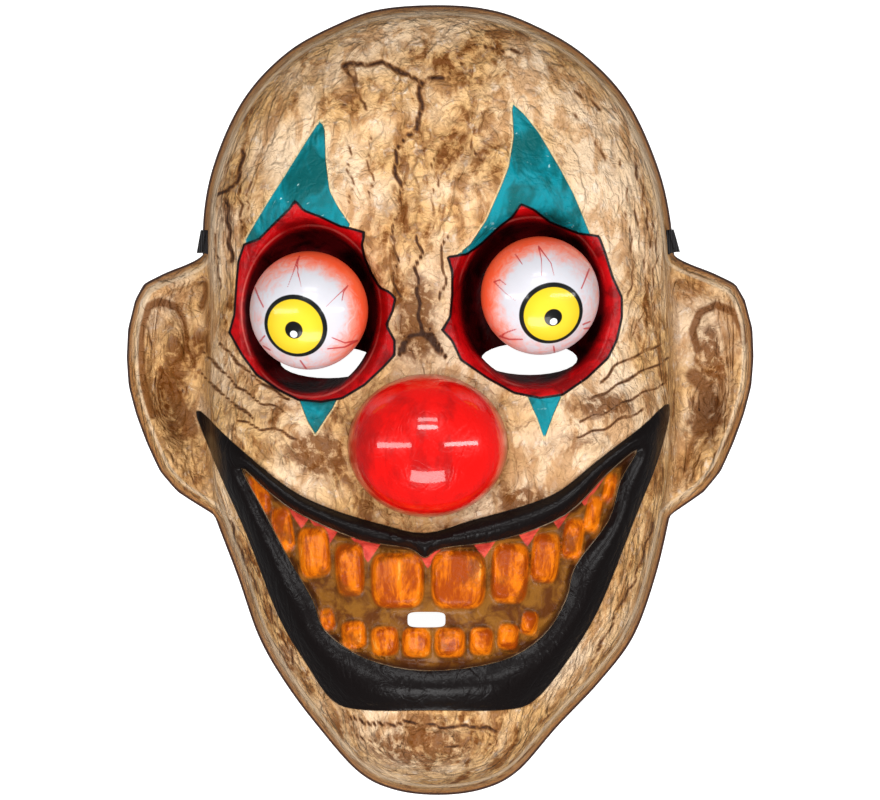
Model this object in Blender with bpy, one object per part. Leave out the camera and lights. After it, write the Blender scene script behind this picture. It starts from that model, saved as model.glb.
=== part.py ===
"""A clown mask formed from one plastic sheet, lying face up on its trim edge.

Metres. +X is to the right as the mask is seen from the front, +Y runs from the chin to the crown
and +Z out of the face. The origin is under the middle of the mask, on the plane it rests on.
Pieces: the formed sheet, two glossy eyeballs seated in its sockets and the elastic head strap.
"""

import math

import bmesh
import bpy
import numpy as np
from mathutils import Vector

# The formed sheet
MASK_HEIGHT = 0.270
FACE_WIDTH = 0.160
FACE_DEPTH = 0.066
SHEET = 0.0012
SIDE_WALL_HEIGHT = 0.020
SIDE_WALL_DRAFT = 0.0034
DOME_ROUNDNESS = 2.3

# Ears, formed in the same sheet
EAR_HEIGHT = 0.0885
EAR_REACH = 0.0255
EAR_LIFT = 0.012
EAR_EDGE_RADIUS = 0.0045
EAR_HELIX_RISE = 0.0035
EAR_GROOVE_DEPTH = 0.0040
EAR_FILLET = 0.012

# Nose, a ball that the grid of the sheet is centred on
NOSE_WIDTH = 0.0532
NOSE_HEIGHT = 0.0476
NOSE_TIP = 0.098
NOSE_WALL_DRAFT = 0.0016

# Eyeballs and the sockets that hold them
EYEBALL_DIAMETER = 0.040
EYEBALL_WALL = 0.0012
EYEBALL_BASE_DIAMETER = 0.020
SOCKET_FLOOR = 0.044
SOCKET_SLOPE = 0.0095
SEAT_CLEARANCE = 0.0003
EYE_SLOT_WIDTH = 0.0325
EYE_SLOT_HEIGHT = 0.0108
EYE_SLOT_REACH = 0.0110

# Mouth: a raised lip round a sunken row of teeth
MOUTH_WIDTH = 0.1613
MOUTH_HEIGHT = 0.1036
LIP_RISE = 0.0042
MOUTH_SINK = 0.0035
TOOTH_RISE = 0.0034
TOOTH_EDGE = 0.0024
MOUTH_SLOT_WIDTH = 0.0128
MOUTH_SLOT_HEIGHT = 0.0052

# Elastic strap, its slots in the side walls and its rolled ends
STRAP_WIDTH = 0.0080
STRAP_THICKNESS = 0.0012
STRAP_HEIGHT = 0.0155
STRAP_END_LENGTH = 0.0020
STRAP_END_THICKNESS = 0.0030
STRAP_CLEARANCE = 0.0007
STRAP_SWEEP_WIDTH = 0.140
STRAP_SWEEP_HEIGHT = 0.072

# How finely the sheet is sampled before its flat areas are thinned out
SPOKES = 200
EAR_RINGS = 14
WALL_RINGS = 4
FACE_RINGS = 44
NOSE_WALL_RINGS = 2
NOSE_RINGS = 12
OUTER_KEEP = 0.185
INNER_KEEP = 0.080

# The face's outline without ears, from the crown to the chin
# Columns: down (share of MASK_HEIGHT), out to each side and lean to the right (shares of half FACE_WIDTH)
FACE_OUTLINE = [
    (0.000, 0.000, -0.010),
    (0.005, 0.225, -0.025),
    (0.022, 0.400, -0.022),
    (0.058, 0.620, -0.025),
    (0.115, 0.808, -0.022),
    (0.191, 0.934, -0.020),
    (0.267, 0.996, -0.014),
    (0.373, 1.010, 0.000),
    (0.500, 1.025, 0.000),
    (0.601, 1.010, 0.002),
    (0.647, 0.972, 0.010),
    (0.723, 0.893, 0.028),
    (0.799, 0.801, 0.026),
    (0.856, 0.675, 0.009),
    (0.913, 0.513, -0.010),
    (0.970, 0.342, -0.010),
    (0.993, 0.190, -0.010),
    (1.000, 0.000, -0.010),
]

# How far an ear stands out beyond the face
# Columns: down (share of EAR_HEIGHT), out (share of EAR_REACH)
EAR_TOP = 0.318
EAR_OUTLINE = [
    (0.000, 0.00),
    (0.030, 0.20),
    (0.060, 0.48),
    (0.105, 0.80),
    (0.170, 0.92),
    (0.280, 1.00),
    (0.390, 1.00),
    (0.500, 0.96),
    (0.610, 0.86),
    (0.720, 0.73),
    (0.830, 0.58),
    (0.910, 0.38),
    (0.970, 0.13),
    (1.000, 0.00),
]

# Broad swellings and hollows of the face
# Columns: name, across (share of half FACE_WIDTH), up (share of half MASK_HEIGHT),
# half width, half height (shares of FACE_WIDTH), rise (share of FACE_DEPTH)
SWELLINGS = [
    ("crown_left", -0.42, 0.74, 0.17, 0.13, 0.040),
    ("crown_right", 0.36, 0.77, 0.17, 0.13, 0.040),
    ("brow_left", -0.56, 0.50, 0.16, 0.075, 0.090),
    ("brow_right", 0.42, 0.53, 0.16, 0.075, 0.090),
    ("frown", -0.06, 0.40, 0.05, 0.13, 0.030),
    ("nose_bridge", -0.05, 0.14, 0.055, 0.10, 0.035),
    ("cheek_left", -0.66, -0.09, 0.15, 0.080, 0.125),
    ("cheek_right", 0.66, -0.05, 0.15, 0.080, 0.125),
    ("muzzle", -0.05, -0.50, 0.24, 0.17, 0.090),
    ("chin", -0.03, -0.88, 0.15, 0.070, 0.190),
]

# Centres of the nose, eyeballs, sockets and slots
# Columns: across (share of half FACE_WIDTH), up (share of half MASK_HEIGHT)
NOSE_PLACE = (-0.052, -0.114)
EYE_PLACES = {"left": (-0.553, 0.224), "right": (0.422, 0.261)}
EYE_SLOT_PLACES = {"left": (-0.473, 0.095), "right": (0.378, 0.103)}
MOUTH_SLOT_PLACE = (-0.057, -0.549)
MOUTH_PLACE = (-0.033, -0.777)
STRAP_UP = 0.400

# Sockets. Columns: across, up (shares as above), half width, half height (shares of EYEBALL_DIAMETER)
SOCKETS = {
    "left": (-0.545, 0.222, 0.66, 0.81),
    "right": (0.390, 0.245, 0.71, 0.80),
}

# The lip's outer and inner edges, clockwise from the left corner
# Columns: across (share of half MOUTH_WIDTH), up (share of MOUTH_HEIGHT)
LIP_OUTER = [
    (-1.00, 0.98),
    (-0.83, 0.87),
    (-0.61, 0.73),
    (-0.43, 0.66),
    (-0.22, 0.61),
    (-0.03, 0.58),
    (0.16, 0.62),
    (0.39, 0.67),
    (0.54, 0.72),
    (0.70, 0.82),
    (0.87, 0.92),
    (1.00, 1.00),
    (0.96, 0.84),
    (0.85, 0.62),
    (0.70, 0.33),
    (0.56, 0.15),
    (0.43, 0.03),
    (0.30, 0.00),
    (0.00, 0.00),
    (-0.29, 0.00),
    (-0.42, 0.03),
    (-0.53, 0.15),
    (-0.65, 0.31),
    (-0.78, 0.57),
    (-0.90, 0.78),
]
LIP_INNER = [
    (-0.80, 0.79),
    (-0.68, 0.71),
    (-0.55, 0.64),
    (-0.31, 0.56),
    (-0.10, 0.53),
    (-0.03, 0.50),
    (0.04, 0.53),
    (0.30, 0.56),
    (0.56, 0.64),
    (0.73, 0.77),
    (0.86, 0.85),
    (0.79, 0.75),
    (0.74, 0.62),
    (0.60, 0.47),
    (0.56, 0.36),
    (0.46, 0.24),
    (0.28, 0.16),
    (-0.03, 0.13),
    (-0.28, 0.17),
    (-0.45, 0.26),
    (-0.50, 0.36),
    (-0.62, 0.52),
    (-0.70, 0.64),
]

# Teeth. Columns: across (share of half MOUTH_WIDTH), up (share of MOUTH_HEIGHT),
# width (share of half MOUTH_WIDTH), height (share of MOUTH_HEIGHT), lean to the right at the top (degrees)
TEETH = [
    (-0.723, 0.703, 0.092, 0.150, -12),
    (-0.625, 0.590, 0.096, 0.165, -10),
    (-0.494, 0.515, 0.140, 0.175, -6),
    (-0.345, 0.460, 0.130, 0.185, -3),
    (-0.145, 0.425, 0.226, 0.185, 0),
    (0.110, 0.427, 0.232, 0.195, 0),
    (0.325, 0.448, 0.165, 0.205, 3),
    (0.474, 0.498, 0.128, 0.175, 6),
    (0.590, 0.560, 0.098, 0.150, 8),
    (0.675, 0.640, 0.078, 0.140, 12),
    (0.742, 0.725, 0.062, 0.120, 14),
    (-0.438, 0.296, 0.070, 0.085, -8),
    (-0.328, 0.246, 0.112, 0.100, -6),
    (-0.198, 0.226, 0.124, 0.105, -2),
    (-0.066, 0.222, 0.130, 0.105, 0),
    (0.074, 0.222, 0.136, 0.105, 0),
    (0.206, 0.226, 0.108, 0.100, 2),
    (0.318, 0.240, 0.098, 0.095, 5),
    (0.408, 0.284, 0.080, 0.090, 8),
]

# Relief of the right ear inside its rolled edge, mirrored for the left
# Columns: name, out (share of EAR_REACH from the face), down (share of EAR_HEIGHT),
# half width (share of EAR_REACH), half height (share of EAR_HEIGHT), rise (share of EAR_LIFT)
EAR_RELIEF = [
    ("antihelix", 0.46, 0.34, 0.20, 0.13, 0.30),
    ("concha", 0.32, 0.55, 0.30, 0.09, -0.50),
    ("lobe", 0.35, 0.80, 0.30, 0.10, 0.22),
]

# Colours of the materials: red, green, blue, roughness
SKIN_PAINT = (0.62, 0.45, 0.27, 0.45)
EYE_WHITE = (0.85, 0.80, 0.78, 0.12)
STRAP_BLACK = (0.015, 0.015, 0.017, 0.85)


def clear_scene():
    for obj in list(bpy.data.objects):
        bpy.data.objects.remove(obj)


def material(name, paint):
    made = bpy.data.materials.get(name) or bpy.data.materials.new(name)
    made.use_nodes = True
    shader = made.node_tree.nodes["Principled BSDF"]
    shader.inputs["Base Color"].default_value = (*paint[:3], 1)
    shader.inputs["Roughness"].default_value = paint[3]
    shader.inputs["Metallic"].default_value = 0
    return made


def add_object(name, mesh, paint_name, paint):
    obj = bpy.data.objects.new(name, mesh)
    mesh.materials.append(material(paint_name, paint))
    bpy.context.scene.collection.objects.link(obj)
    mesh.shade_smooth()
    mesh.set_sharp_from_angle(angle=math.radians(40))
    return obj


def smooth_step(share):
    share = np.clip(share, 0, 1)
    return share * share * (3 - 2 * share)


def smooth_max(a, b, reach):
    """The higher of two surfaces, with the corner where they meet rounded over reach."""
    overlap = np.clip(reach - np.abs(a - b), 0, None) / reach
    return np.maximum(a, b) + overlap * overlap * reach / 4


def on_face(place):
    return place[0] * FACE_WIDTH / 2, place[1] * MASK_HEIGHT / 2


def in_mouth(row):
    middle_x, bottom_y = on_face(MOUTH_PLACE)
    return middle_x + row[0] * MOUTH_WIDTH / 2, bottom_y + row[1] * MOUTH_HEIGHT


def closed_curve(points, steps):
    """A smooth closed curve through the points, as rows of x and y, with steps rows to each span."""
    knots = np.array(points)
    shares = np.arange(steps)[:, None] / steps
    before, here, after, beyond = (np.roll(knots, shift, axis=0) for shift in (1, 0, -1, -2))
    spans = []
    for p0, p1, p2, p3 in zip(before, here, after, beyond):
        bend = 2 * p0 - 5 * p1 + 4 * p2 - p3
        twist = 3 * p1 - p0 - 3 * p2 + p3
        spans.append(p1 + 0.5 * ((p2 - p0) * shares + bend * shares**2 + twist * shares**3))
    return np.concatenate(spans)


def even_points(curve, count):
    """count points evenly spaced along a closed curve."""
    closed = np.vstack([curve, curve[:1]])
    run = np.concatenate([[0], np.cumsum(np.hypot(*np.diff(closed, axis=0).T))])
    places = np.linspace(0, run[-1], count, endpoint=False)
    return np.column_stack([np.interp(places, run, closed[:, axis]) for axis in (0, 1)])


def inside_distance(curve, x, y):
    """How far each point lies inside a closed curve, negative outside it."""
    starts, ends = curve, np.roll(curve, -1, axis=0)
    nearest = np.full(x.shape, np.inf)
    crossings = np.zeros(x.shape, int)
    for (ax, ay), (bx, by) in zip(starts, ends):
        dx, dy = bx - ax, by - ay
        share = np.clip(((x - ax) * dx + (y - ay) * dy) / (dx * dx + dy * dy), 0, 1)
        nearest = np.minimum(nearest, np.hypot(x - ax - share * dx, y - ay - share * dy))
        if ay != by:
            spans = (ay > y) != (by > y)
            crossings += spans & (x < ax + (y - ay) * dx / dy)
    return np.where(crossings % 2 == 1, nearest, -nearest)


def face_outline():
    """The face's outline at the trim edge, without its ears."""
    half, height = FACE_WIDTH / 2, MASK_HEIGHT
    right = [((lean + out) * half, (0.5 - down) * height) for down, out, lean in FACE_OUTLINE]
    left = [((lean - out) * half, (0.5 - down) * height) for down, out, lean in FACE_OUTLINE]
    return closed_curve(right + left[-2:0:-1], 24)


def face_sides(y):
    """Where the face's outline runs at its left and right side."""
    crown, chin = np.argmax(FACE_EDGE[:, 1]), np.argmin(FACE_EDGE[:, 1])
    right, left = FACE_EDGE[crown:chin], FACE_EDGE[: chin - 1 : -1]
    return [np.interp(-y, -side[:, 1], side[:, 0]) for side in (left, right)]


def ear_reach(y):
    down, out = np.array(EAR_OUTLINE).T
    ear_top = (0.5 - EAR_TOP) * MASK_HEIGHT
    return EAR_REACH * np.interp((ear_top - y) / EAR_HEIGHT, down, out, left=0, right=0)


def with_ears(outline):
    x, y = outline.T
    return np.column_stack([x + np.sign(x) * ear_reach(y), y])


class Polar:
    """A closed curve seen from the nose: its radius in any direction."""

    def __init__(self, curve):
        x, y = (curve - on_face(NOSE_PLACE)).T
        angle, radius = np.arctan2(y, x), np.hypot(x, y)
        order = np.argsort(angle)
        self.angle, self.radius = angle[order], radius[order]

    def __call__(self, angle):
        return np.interp(angle, self.angle, self.radius, period=2 * math.pi)


FACE_EDGE = face_outline()
TRIM_EDGE = with_ears(FACE_EDGE)
FACE_RADIUS = Polar(FACE_EDGE)
TRIM_RADIUS = Polar(TRIM_EDGE)
LIP_OUTER_EDGE = closed_curve([in_mouth(row) for row in LIP_OUTER], 4)
LIP_INNER_EDGE = closed_curve([in_mouth(row) for row in LIP_INNER], 4)


def dome(x, y):
    """The plain face: a side wall with draft, then a rounded dome over it."""
    nose_x, nose_y = on_face(NOSE_PLACE)
    radius = np.hypot(x - nose_x, y - nose_y)
    edge = FACE_RADIUS(np.arctan2(y - nose_y, x - nose_x))
    shoulder = edge - SIDE_WALL_DRAFT
    share = np.clip(radius / shoulder, 0, 1)
    over_wall = FACE_DEPTH - SIDE_WALL_HEIGHT
    top = SIDE_WALL_HEIGHT + over_wall * (1 - share**DOME_ROUNDNESS) ** (1 / DOME_ROUNDNESS)
    wall = SIDE_WALL_HEIGHT * (edge - radius) / SIDE_WALL_DRAFT
    return np.where(radius < shoulder, top, wall)


def swellings(x, y):
    total = np.zeros(x.shape)
    for _, across, up, half_width, half_height, rise in SWELLINGS:
        middle_x, middle_y = on_face((across, up))
        far = ((x - middle_x) / (half_width * FACE_WIDTH)) ** 2
        far = far + ((y - middle_y) / (half_height * FACE_WIDTH)) ** 2
        total += rise * FACE_DEPTH * np.exp(-far)
    return total


def ears(x, y):
    """A low plateau with a rounded trim edge, a rolled helix, a groove inside it and the inner ear."""
    inside = inside_distance(even_points(TRIM_EDGE, SPOKES), x, y)
    edge = np.clip(1 - inside / EAR_EDGE_RADIUS, 0, 1)
    left, right = face_sides(y)
    out = np.maximum(x - right, left - x) / EAR_REACH
    down = ((0.5 - EAR_TOP) * MASK_HEIGHT - y) / EAR_HEIGHT
    beside_ear = smooth_step((0.52 - np.abs(down - 0.5)) / 0.02)
    height = EAR_LIFT * np.sqrt(1 - edge * edge) * beside_ear
    on_ear = smooth_step(4 * out + 1) * beside_ear
    helix = np.exp(-(((inside - EAR_EDGE_RADIUS) / EAR_EDGE_RADIUS) ** 2))
    groove = np.exp(-(((inside - 2.4 * EAR_EDGE_RADIUS) / (0.8 * EAR_EDGE_RADIUS)) ** 2))
    groove = groove * smooth_step((0.80 - down) / 0.25)
    relief = EAR_HELIX_RISE * helix - EAR_GROOVE_DEPTH * groove
    for _, out_middle, down_middle, half_out, half_down, rise in EAR_RELIEF:
        far = ((out - out_middle) / half_out) ** 2 + ((down - down_middle) / half_down) ** 2
        relief = relief + rise * EAR_LIFT * np.exp(-far)
    return np.where(inside > 0, height + on_ear * (1 - edge) * relief, inside), on_ear


def sockets(height, x, y):
    """Sinks each socket to its flat floor."""
    for across, up, half_width, half_height in SOCKETS.values():
        middle_x, middle_y = on_face((across, up))
        half_x, half_y = half_width * EYEBALL_DIAMETER, half_height * EYEBALL_DIAMETER
        share = np.hypot((x - middle_x) / half_x, (y - middle_y) / half_y)
        depth = smooth_step((1 - share) * half_x / SOCKET_SLOPE)
        height = height + (SOCKET_FLOOR - height) * depth
    return height


def nose(x, y):
    """The front half of a ball on a short steep wall."""
    nose_x, nose_y = on_face(NOSE_PLACE)
    share = np.hypot((x - nose_x) * 2 / NOSE_WIDTH, (y - nose_y) * 2 / NOSE_HEIGHT)
    equator = NOSE_TIP - NOSE_HEIGHT / 2
    ball = equator + NOSE_HEIGHT / 2 * np.sqrt(np.clip(1 - share**2, 0, None))
    return np.where(share < 1, ball, equator * (1 - (share - 1) * NOSE_HEIGHT / 2 / NOSE_WALL_DRAFT))


def mouth(x, y):
    """The lip's roll, the sunken mouth inside it and the teeth in the mouth."""
    outer = inside_distance(LIP_OUTER_EDGE, x, y)
    inner = inside_distance(LIP_INNER_EDGE, x, y)
    across_lip = np.clip(outer / np.maximum(outer - inner, 1e-9), 0, 1)
    lip = LIP_RISE * np.sin(math.pi * across_lip) * (outer > 0) * (inner < 0)
    sunk = -MOUTH_SINK * smooth_step(inner / TOOTH_EDGE)
    tooth = smooth_step(inside_teeth(x, y) / TOOTH_EDGE)
    return lip + sunk + TOOTH_RISE * tooth * smooth_step(inner / TOOTH_EDGE)


def inside_teeth(x, y):
    """How far each point lies inside its nearest tooth, negative outside the teeth."""
    nearest = np.full(x.shape, -MOUTH_HEIGHT)
    for across, up, width, height, lean in TEETH:
        middle_x, middle_y = in_mouth((across, up))
        half_x, half_y = width * MOUTH_WIDTH / 4, height * MOUTH_HEIGHT / 2
        turn = math.radians(lean)
        side = np.abs((x - middle_x) * math.cos(turn) - (y - middle_y) * math.sin(turn)) / half_x
        rise = np.abs((x - middle_x) * math.sin(turn) + (y - middle_y) * math.cos(turn)) / half_y
        share = (side**4 + rise**4) ** 0.25
        nearest = np.maximum(nearest, (1.04 - share) * half_x)
    return nearest


def outer_height(x, y):
    """How high the sheet's front face stands over the plane it rests on."""
    base = dome(x, y)
    radius = np.clip(base / SIDE_WALL_HEIGHT - 1, 0, 1)
    face = base + smooth_step(radius) * (swellings(x, y) + mouth(x, y))
    face = sockets(face, x, y)
    face = smooth_max(face, nose(x, y), SHEET)
    ear, on_ear = ears(x, y)
    return smooth_max(face, ear, 2 * SHEET + EAR_FILLET * on_ear)


def inner_height(x, y):
    """The sheet's back face: nowhere nearer to the front face than the sheet is thick."""
    lowest = outer_height(x, y) - SHEET
    for share in (0.5, 0.85, 1.0):
        drop = SHEET * math.sqrt(1 - share * share)
        for angle in np.linspace(0, 2 * math.pi, 12, endpoint=False):
            step_x, step_y = share * SHEET * math.cos(angle), share * SHEET * math.sin(angle)
            lowest = np.minimum(lowest, outer_height(x + step_x, y + step_y) - drop)
    return lowest


def ring_radii(angle, trim, inset):
    """Radii from the nose of every ring: out along the ears, up the side wall, the face and the nose."""
    face = FACE_RADIUS(angle)
    across, up = np.cos(angle) * 2 / NOSE_WIDTH, np.sin(angle) * 2 / NOSE_HEIGHT
    nose_edge = 1 / np.hypot(across, up)
    stations = [
        (trim, 0),
        (np.minimum(face, trim - SIDE_WALL_DRAFT / 8) - inset, EAR_RINGS),
        (face - SIDE_WALL_DRAFT - inset, WALL_RINGS),
        (nose_edge + NOSE_WALL_DRAFT - inset, FACE_RINGS),
        (nose_edge - inset, NOSE_WALL_RINGS),
        (np.zeros(angle.shape), NOSE_RINGS),
    ]
    radii = [trim]
    for (outer, _), (inner, count) in zip(stations, stations[1:]):
        radii += [outer + (inner - outer) * step / count for step in range(1, count + 1)]
    return np.array(radii[:-1])


def skin(name, height, inset, keep):
    """One face of the sheet: rings round the nose out to the trim edge, thinned where it is flat."""
    centre = np.array(on_face(NOSE_PLACE))
    out_x, out_y = (even_points(TRIM_EDGE, SPOKES) - centre).T
    angle, trim = np.arctan2(out_y, out_x), np.hypot(out_x, out_y) - inset
    radii = ring_radii(angle, trim, inset)
    x, y = centre[0] + radii * np.cos(angle), centre[1] + radii * np.sin(angle)
    z = np.maximum(height(x, y), 0)
    z[0] = 0
    tip = height(centre[:1], centre[1:])
    points = np.vstack([np.stack([x, y, z], -1).reshape(-1, 3), [(*centre, tip[0])]])
    faces = []
    for ring in range(len(radii) - 1):
        for spoke in range(SPOKES):
            here, beside = ring * SPOKES + spoke, ring * SPOKES + (spoke + 1) % SPOKES
            faces.append((here, here + SPOKES, beside + SPOKES, beside))
    last = (len(radii) - 1) * SPOKES
    faces += [(last + spoke, len(points) - 1, last + (spoke + 1) % SPOKES) for spoke in range(SPOKES)]
    mesh = bpy.data.meshes.new(name)
    mesh.from_pydata(points.tolist(), [], faces)
    return thinned(mesh, keep)


def thinned(mesh, keep):
    """A copy of the mesh with only that share of its triangles, most where it bends, and all its rim."""
    guide = bpy.data.objects.new("guide", mesh)
    bpy.context.scene.collection.objects.link(guide)
    loose = guide.vertex_groups.new(name="away_from_rim")
    loose.add(list(range(SPOKES, len(mesh.vertices))), 1, "REPLACE")
    modifier = guide.modifiers.new("Decimate", "DECIMATE")
    modifier.ratio = keep
    modifier.vertex_group = loose.name
    graph = bpy.context.evaluated_depsgraph_get()
    made = bpy.data.meshes.new_from_object(guide.evaluated_get(graph))
    bpy.data.objects.remove(guide)
    return made


def slot_cutter(name, middle, half_sides, roundness, tilt=(0, 0, 0)):
    """A prism with a rounded outline, which cuts a slot through the sheet along its local Z."""
    half_x, half_y, half_z = half_sides
    bm = bmesh.new()
    ring = []
    for angle in np.linspace(0, 2 * math.pi, 28, endpoint=False):
        across, up = math.cos(angle), math.sin(angle)
        x = half_x * math.copysign(abs(across) ** roundness, across)
        y = half_y * math.copysign(abs(up) ** roundness, up)
        ring.append(bm.verts.new((x, y, -half_z)))
    floor = bm.faces.new(ring)
    grown = bmesh.ops.extrude_face_region(bm, geom=[floor])["geom"]
    risen = [part for part in grown if isinstance(part, bmesh.types.BMVert)]
    bmesh.ops.translate(bm, vec=(0, 0, 2 * half_z), verts=risen)
    bmesh.ops.recalc_face_normals(bm, faces=bm.faces)
    mesh = bpy.data.meshes.new(name)
    bm.to_mesh(mesh)
    cutter = bpy.data.objects.new(name, mesh)
    bpy.context.scene.collection.objects.link(cutter)
    cutter.location = middle
    cutter.rotation_euler = tilt
    cutter.hide_render = True
    cutter.display_type = "WIRE"
    return cutter


def slot_cutters():
    """Cutters for the two sight slots, the breathing slot and the strap's two slots."""
    made = []
    for side, place in EYE_SLOT_PLACES.items():
        middle = (*on_face(place), SOCKET_FLOOR)
        half_sides = (EYE_SLOT_WIDTH / 2, EYE_SLOT_HEIGHT / 2, EYE_SLOT_REACH)
        made.append(slot_cutter(f"eye_slot_{side}", middle, half_sides, 1.0))
    middle = (*on_face(MOUTH_SLOT_PLACE), FACE_DEPTH)
    half_sides = (MOUTH_SLOT_WIDTH / 2, MOUTH_SLOT_HEIGHT / 2, FACE_DEPTH / 2)
    made.append(slot_cutter("mouth_slot", middle, half_sides, 0.45))
    half_width = STRAP_WIDTH / 2 + STRAP_CLEARANCE
    half_thick = STRAP_THICKNESS / 2 + STRAP_CLEARANCE
    for side, sign in (("left", -1), ("right", 1)):
        place, outward = strap_exit(sign)
        turn = math.atan2(outward.y, outward.x) + math.pi / 2
        half_sides = (half_width, half_thick, 3 * SHEET)
        tilt = (math.pi / 2, 0, turn)
        made.append(slot_cutter(f"strap_slot_{side}", place, half_sides, 0.2, tilt))
    return made


def mask_shell():
    """The formed sheet as one closed solid, with its slots cut."""
    bm = bmesh.new()
    bm.from_mesh(skin("inner", inner_height, SHEET, INNER_KEEP))
    bmesh.ops.reverse_faces(bm, faces=bm.faces)
    bm.from_mesh(skin("outer", outer_height, 0, OUTER_KEEP))
    bmesh.ops.bridge_loops(bm, edges=[edge for edge in bm.edges if edge.is_boundary])
    bmesh.ops.triangulate(bm, faces=bm.faces)
    bmesh.ops.recalc_face_normals(bm, faces=bm.faces)
    mesh = bpy.data.meshes.new("mask_shell")
    bm.to_mesh(mesh)
    shell = add_object("mask_shell", mesh, "skin_paint", SKIN_PAINT)
    for cutter in slot_cutters():
        cut = shell.modifiers.new(cutter.name, "BOOLEAN")
        cut.object = cutter
        cut.operation = "DIFFERENCE"
    return shell


def eyeball(side):
    """A thin hollow ball, open where its base is seated on the socket's floor."""
    across, up = on_face(EYE_PLACES[side])
    radius, base = EYEBALL_DIAMETER / 2, EYEBALL_BASE_DIAMETER / 2
    drop = math.sqrt(radius**2 - base**2)
    middle_z = SOCKET_FLOOR + SEAT_CLEARANCE + drop
    inner = radius - EYEBALL_WALL
    steps, sides = 8, 28
    outer_angles = np.linspace(0, math.acos(-drop / radius), steps)
    inner_angles = np.linspace(math.acos(-drop / inner), 0, steps)
    profile = [(radius * math.sin(a), radius * math.cos(a)) for a in outer_angles]
    profile += [(inner * math.sin(a), inner * math.cos(a)) for a in inner_angles]
    bm = bmesh.new()
    verts = [bm.verts.new((x, 0, z)) for x, z in profile]
    edges = [bm.edges.new(pair) for pair in zip(verts, verts[1:])]
    geom = verts + edges
    bmesh.ops.spin(bm, geom=geom, axis=(0, 0, 1), angle=2 * math.pi, steps=sides, use_duplicate=False)
    bmesh.ops.remove_doubles(bm, verts=bm.verts, dist=0.00002)
    bmesh.ops.recalc_face_normals(bm, faces=bm.faces)
    mesh = bpy.data.meshes.new(f"eyeball_{side}")
    bm.to_mesh(mesh)
    ball = add_object(f"eyeball_{side}", mesh, "eye_white", EYE_WHITE)
    ball.location = (across, up, middle_z)
    return ball


def strap_exit(sign):
    """Where the strap crosses the side wall's outer face on one side, and the wall's outward direction."""
    up = STRAP_UP * MASK_HEIGHT / 2
    sides = face_sides(np.array([up + STRAP_WIDTH / 2, up, up - STRAP_WIDTH / 2]))
    above, at, below = sides[0] if sign < 0 else sides[1]
    outward = Vector((sign * STRAP_WIDTH, sign * (below - above), 0)).normalized()
    x = at - sign * SIDE_WALL_DRAFT * STRAP_HEIGHT / SIDE_WALL_HEIGHT
    return Vector((x, up, STRAP_HEIGHT)), outward


# The strap's route from its middle to one end. It lies on edge on the surface under the mask, then
# turns flat and passes out through the slot.
# Columns: out (share of half STRAP_SWEEP_WIDTH), up (share of STRAP_SWEEP_HEIGHT), turn to flat
STRAP_ROUTE = [
    (0.00, 1.00, 0.0),
    (0.30, 0.97, 0.0),
    (0.56, 0.86, 0.0),
    (0.77, 0.68, 0.0),
    (0.90, 0.46, 0.0),
    (0.95, 0.26, 0.2),
    (0.97, 0.10, 0.7),
]


def strap_route():
    """Rows of x, y, z and turn along the strap's middle line, from its left end to its right."""
    lying = STRAP_WIDTH / 2 + SEAT_CLEARANCE
    half = []
    for out, up, turn in STRAP_ROUTE:
        x, y = out * STRAP_SWEEP_WIDTH / 2, STRAP_UP * MASK_HEIGHT / 2 + up * STRAP_SWEEP_HEIGHT
        half.append((x, y, lying + (STRAP_HEIGHT - lying) * turn, turn))
    ends = []
    for sign in (-1, 1):
        place, outward = strap_exit(sign)
        reaches = (-2 * SHEET, 2 * STRAP_CLEARANCE + SEAT_CLEARANCE)
        ends.append([(*(place + outward * reach), 1.0) for reach in reaches])
    mirrored = [(-x, y, z, turn) for x, y, z, turn in half[:0:-1]]
    route = np.array(ends[0][::-1] + mirrored + half + ends[1])
    padded = np.vstack([2 * route[0] - route[1], route, 2 * route[-1] - route[-2]])
    dense = []
    for p0, p1, p2, p3 in zip(padded, padded[1:], padded[2:], padded[3:]):
        for share in np.arange(4) / 4:
            bend = 2 * p0 - 5 * p1 + 4 * p2 - p3
            twist = 3 * p1 - p0 - 3 * p2 + p3
            dense.append(p1 + 0.5 * ((p2 - p0) * share + bend * share**2 + twist * share**3))
    return np.array(dense + [route[-1]])


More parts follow.
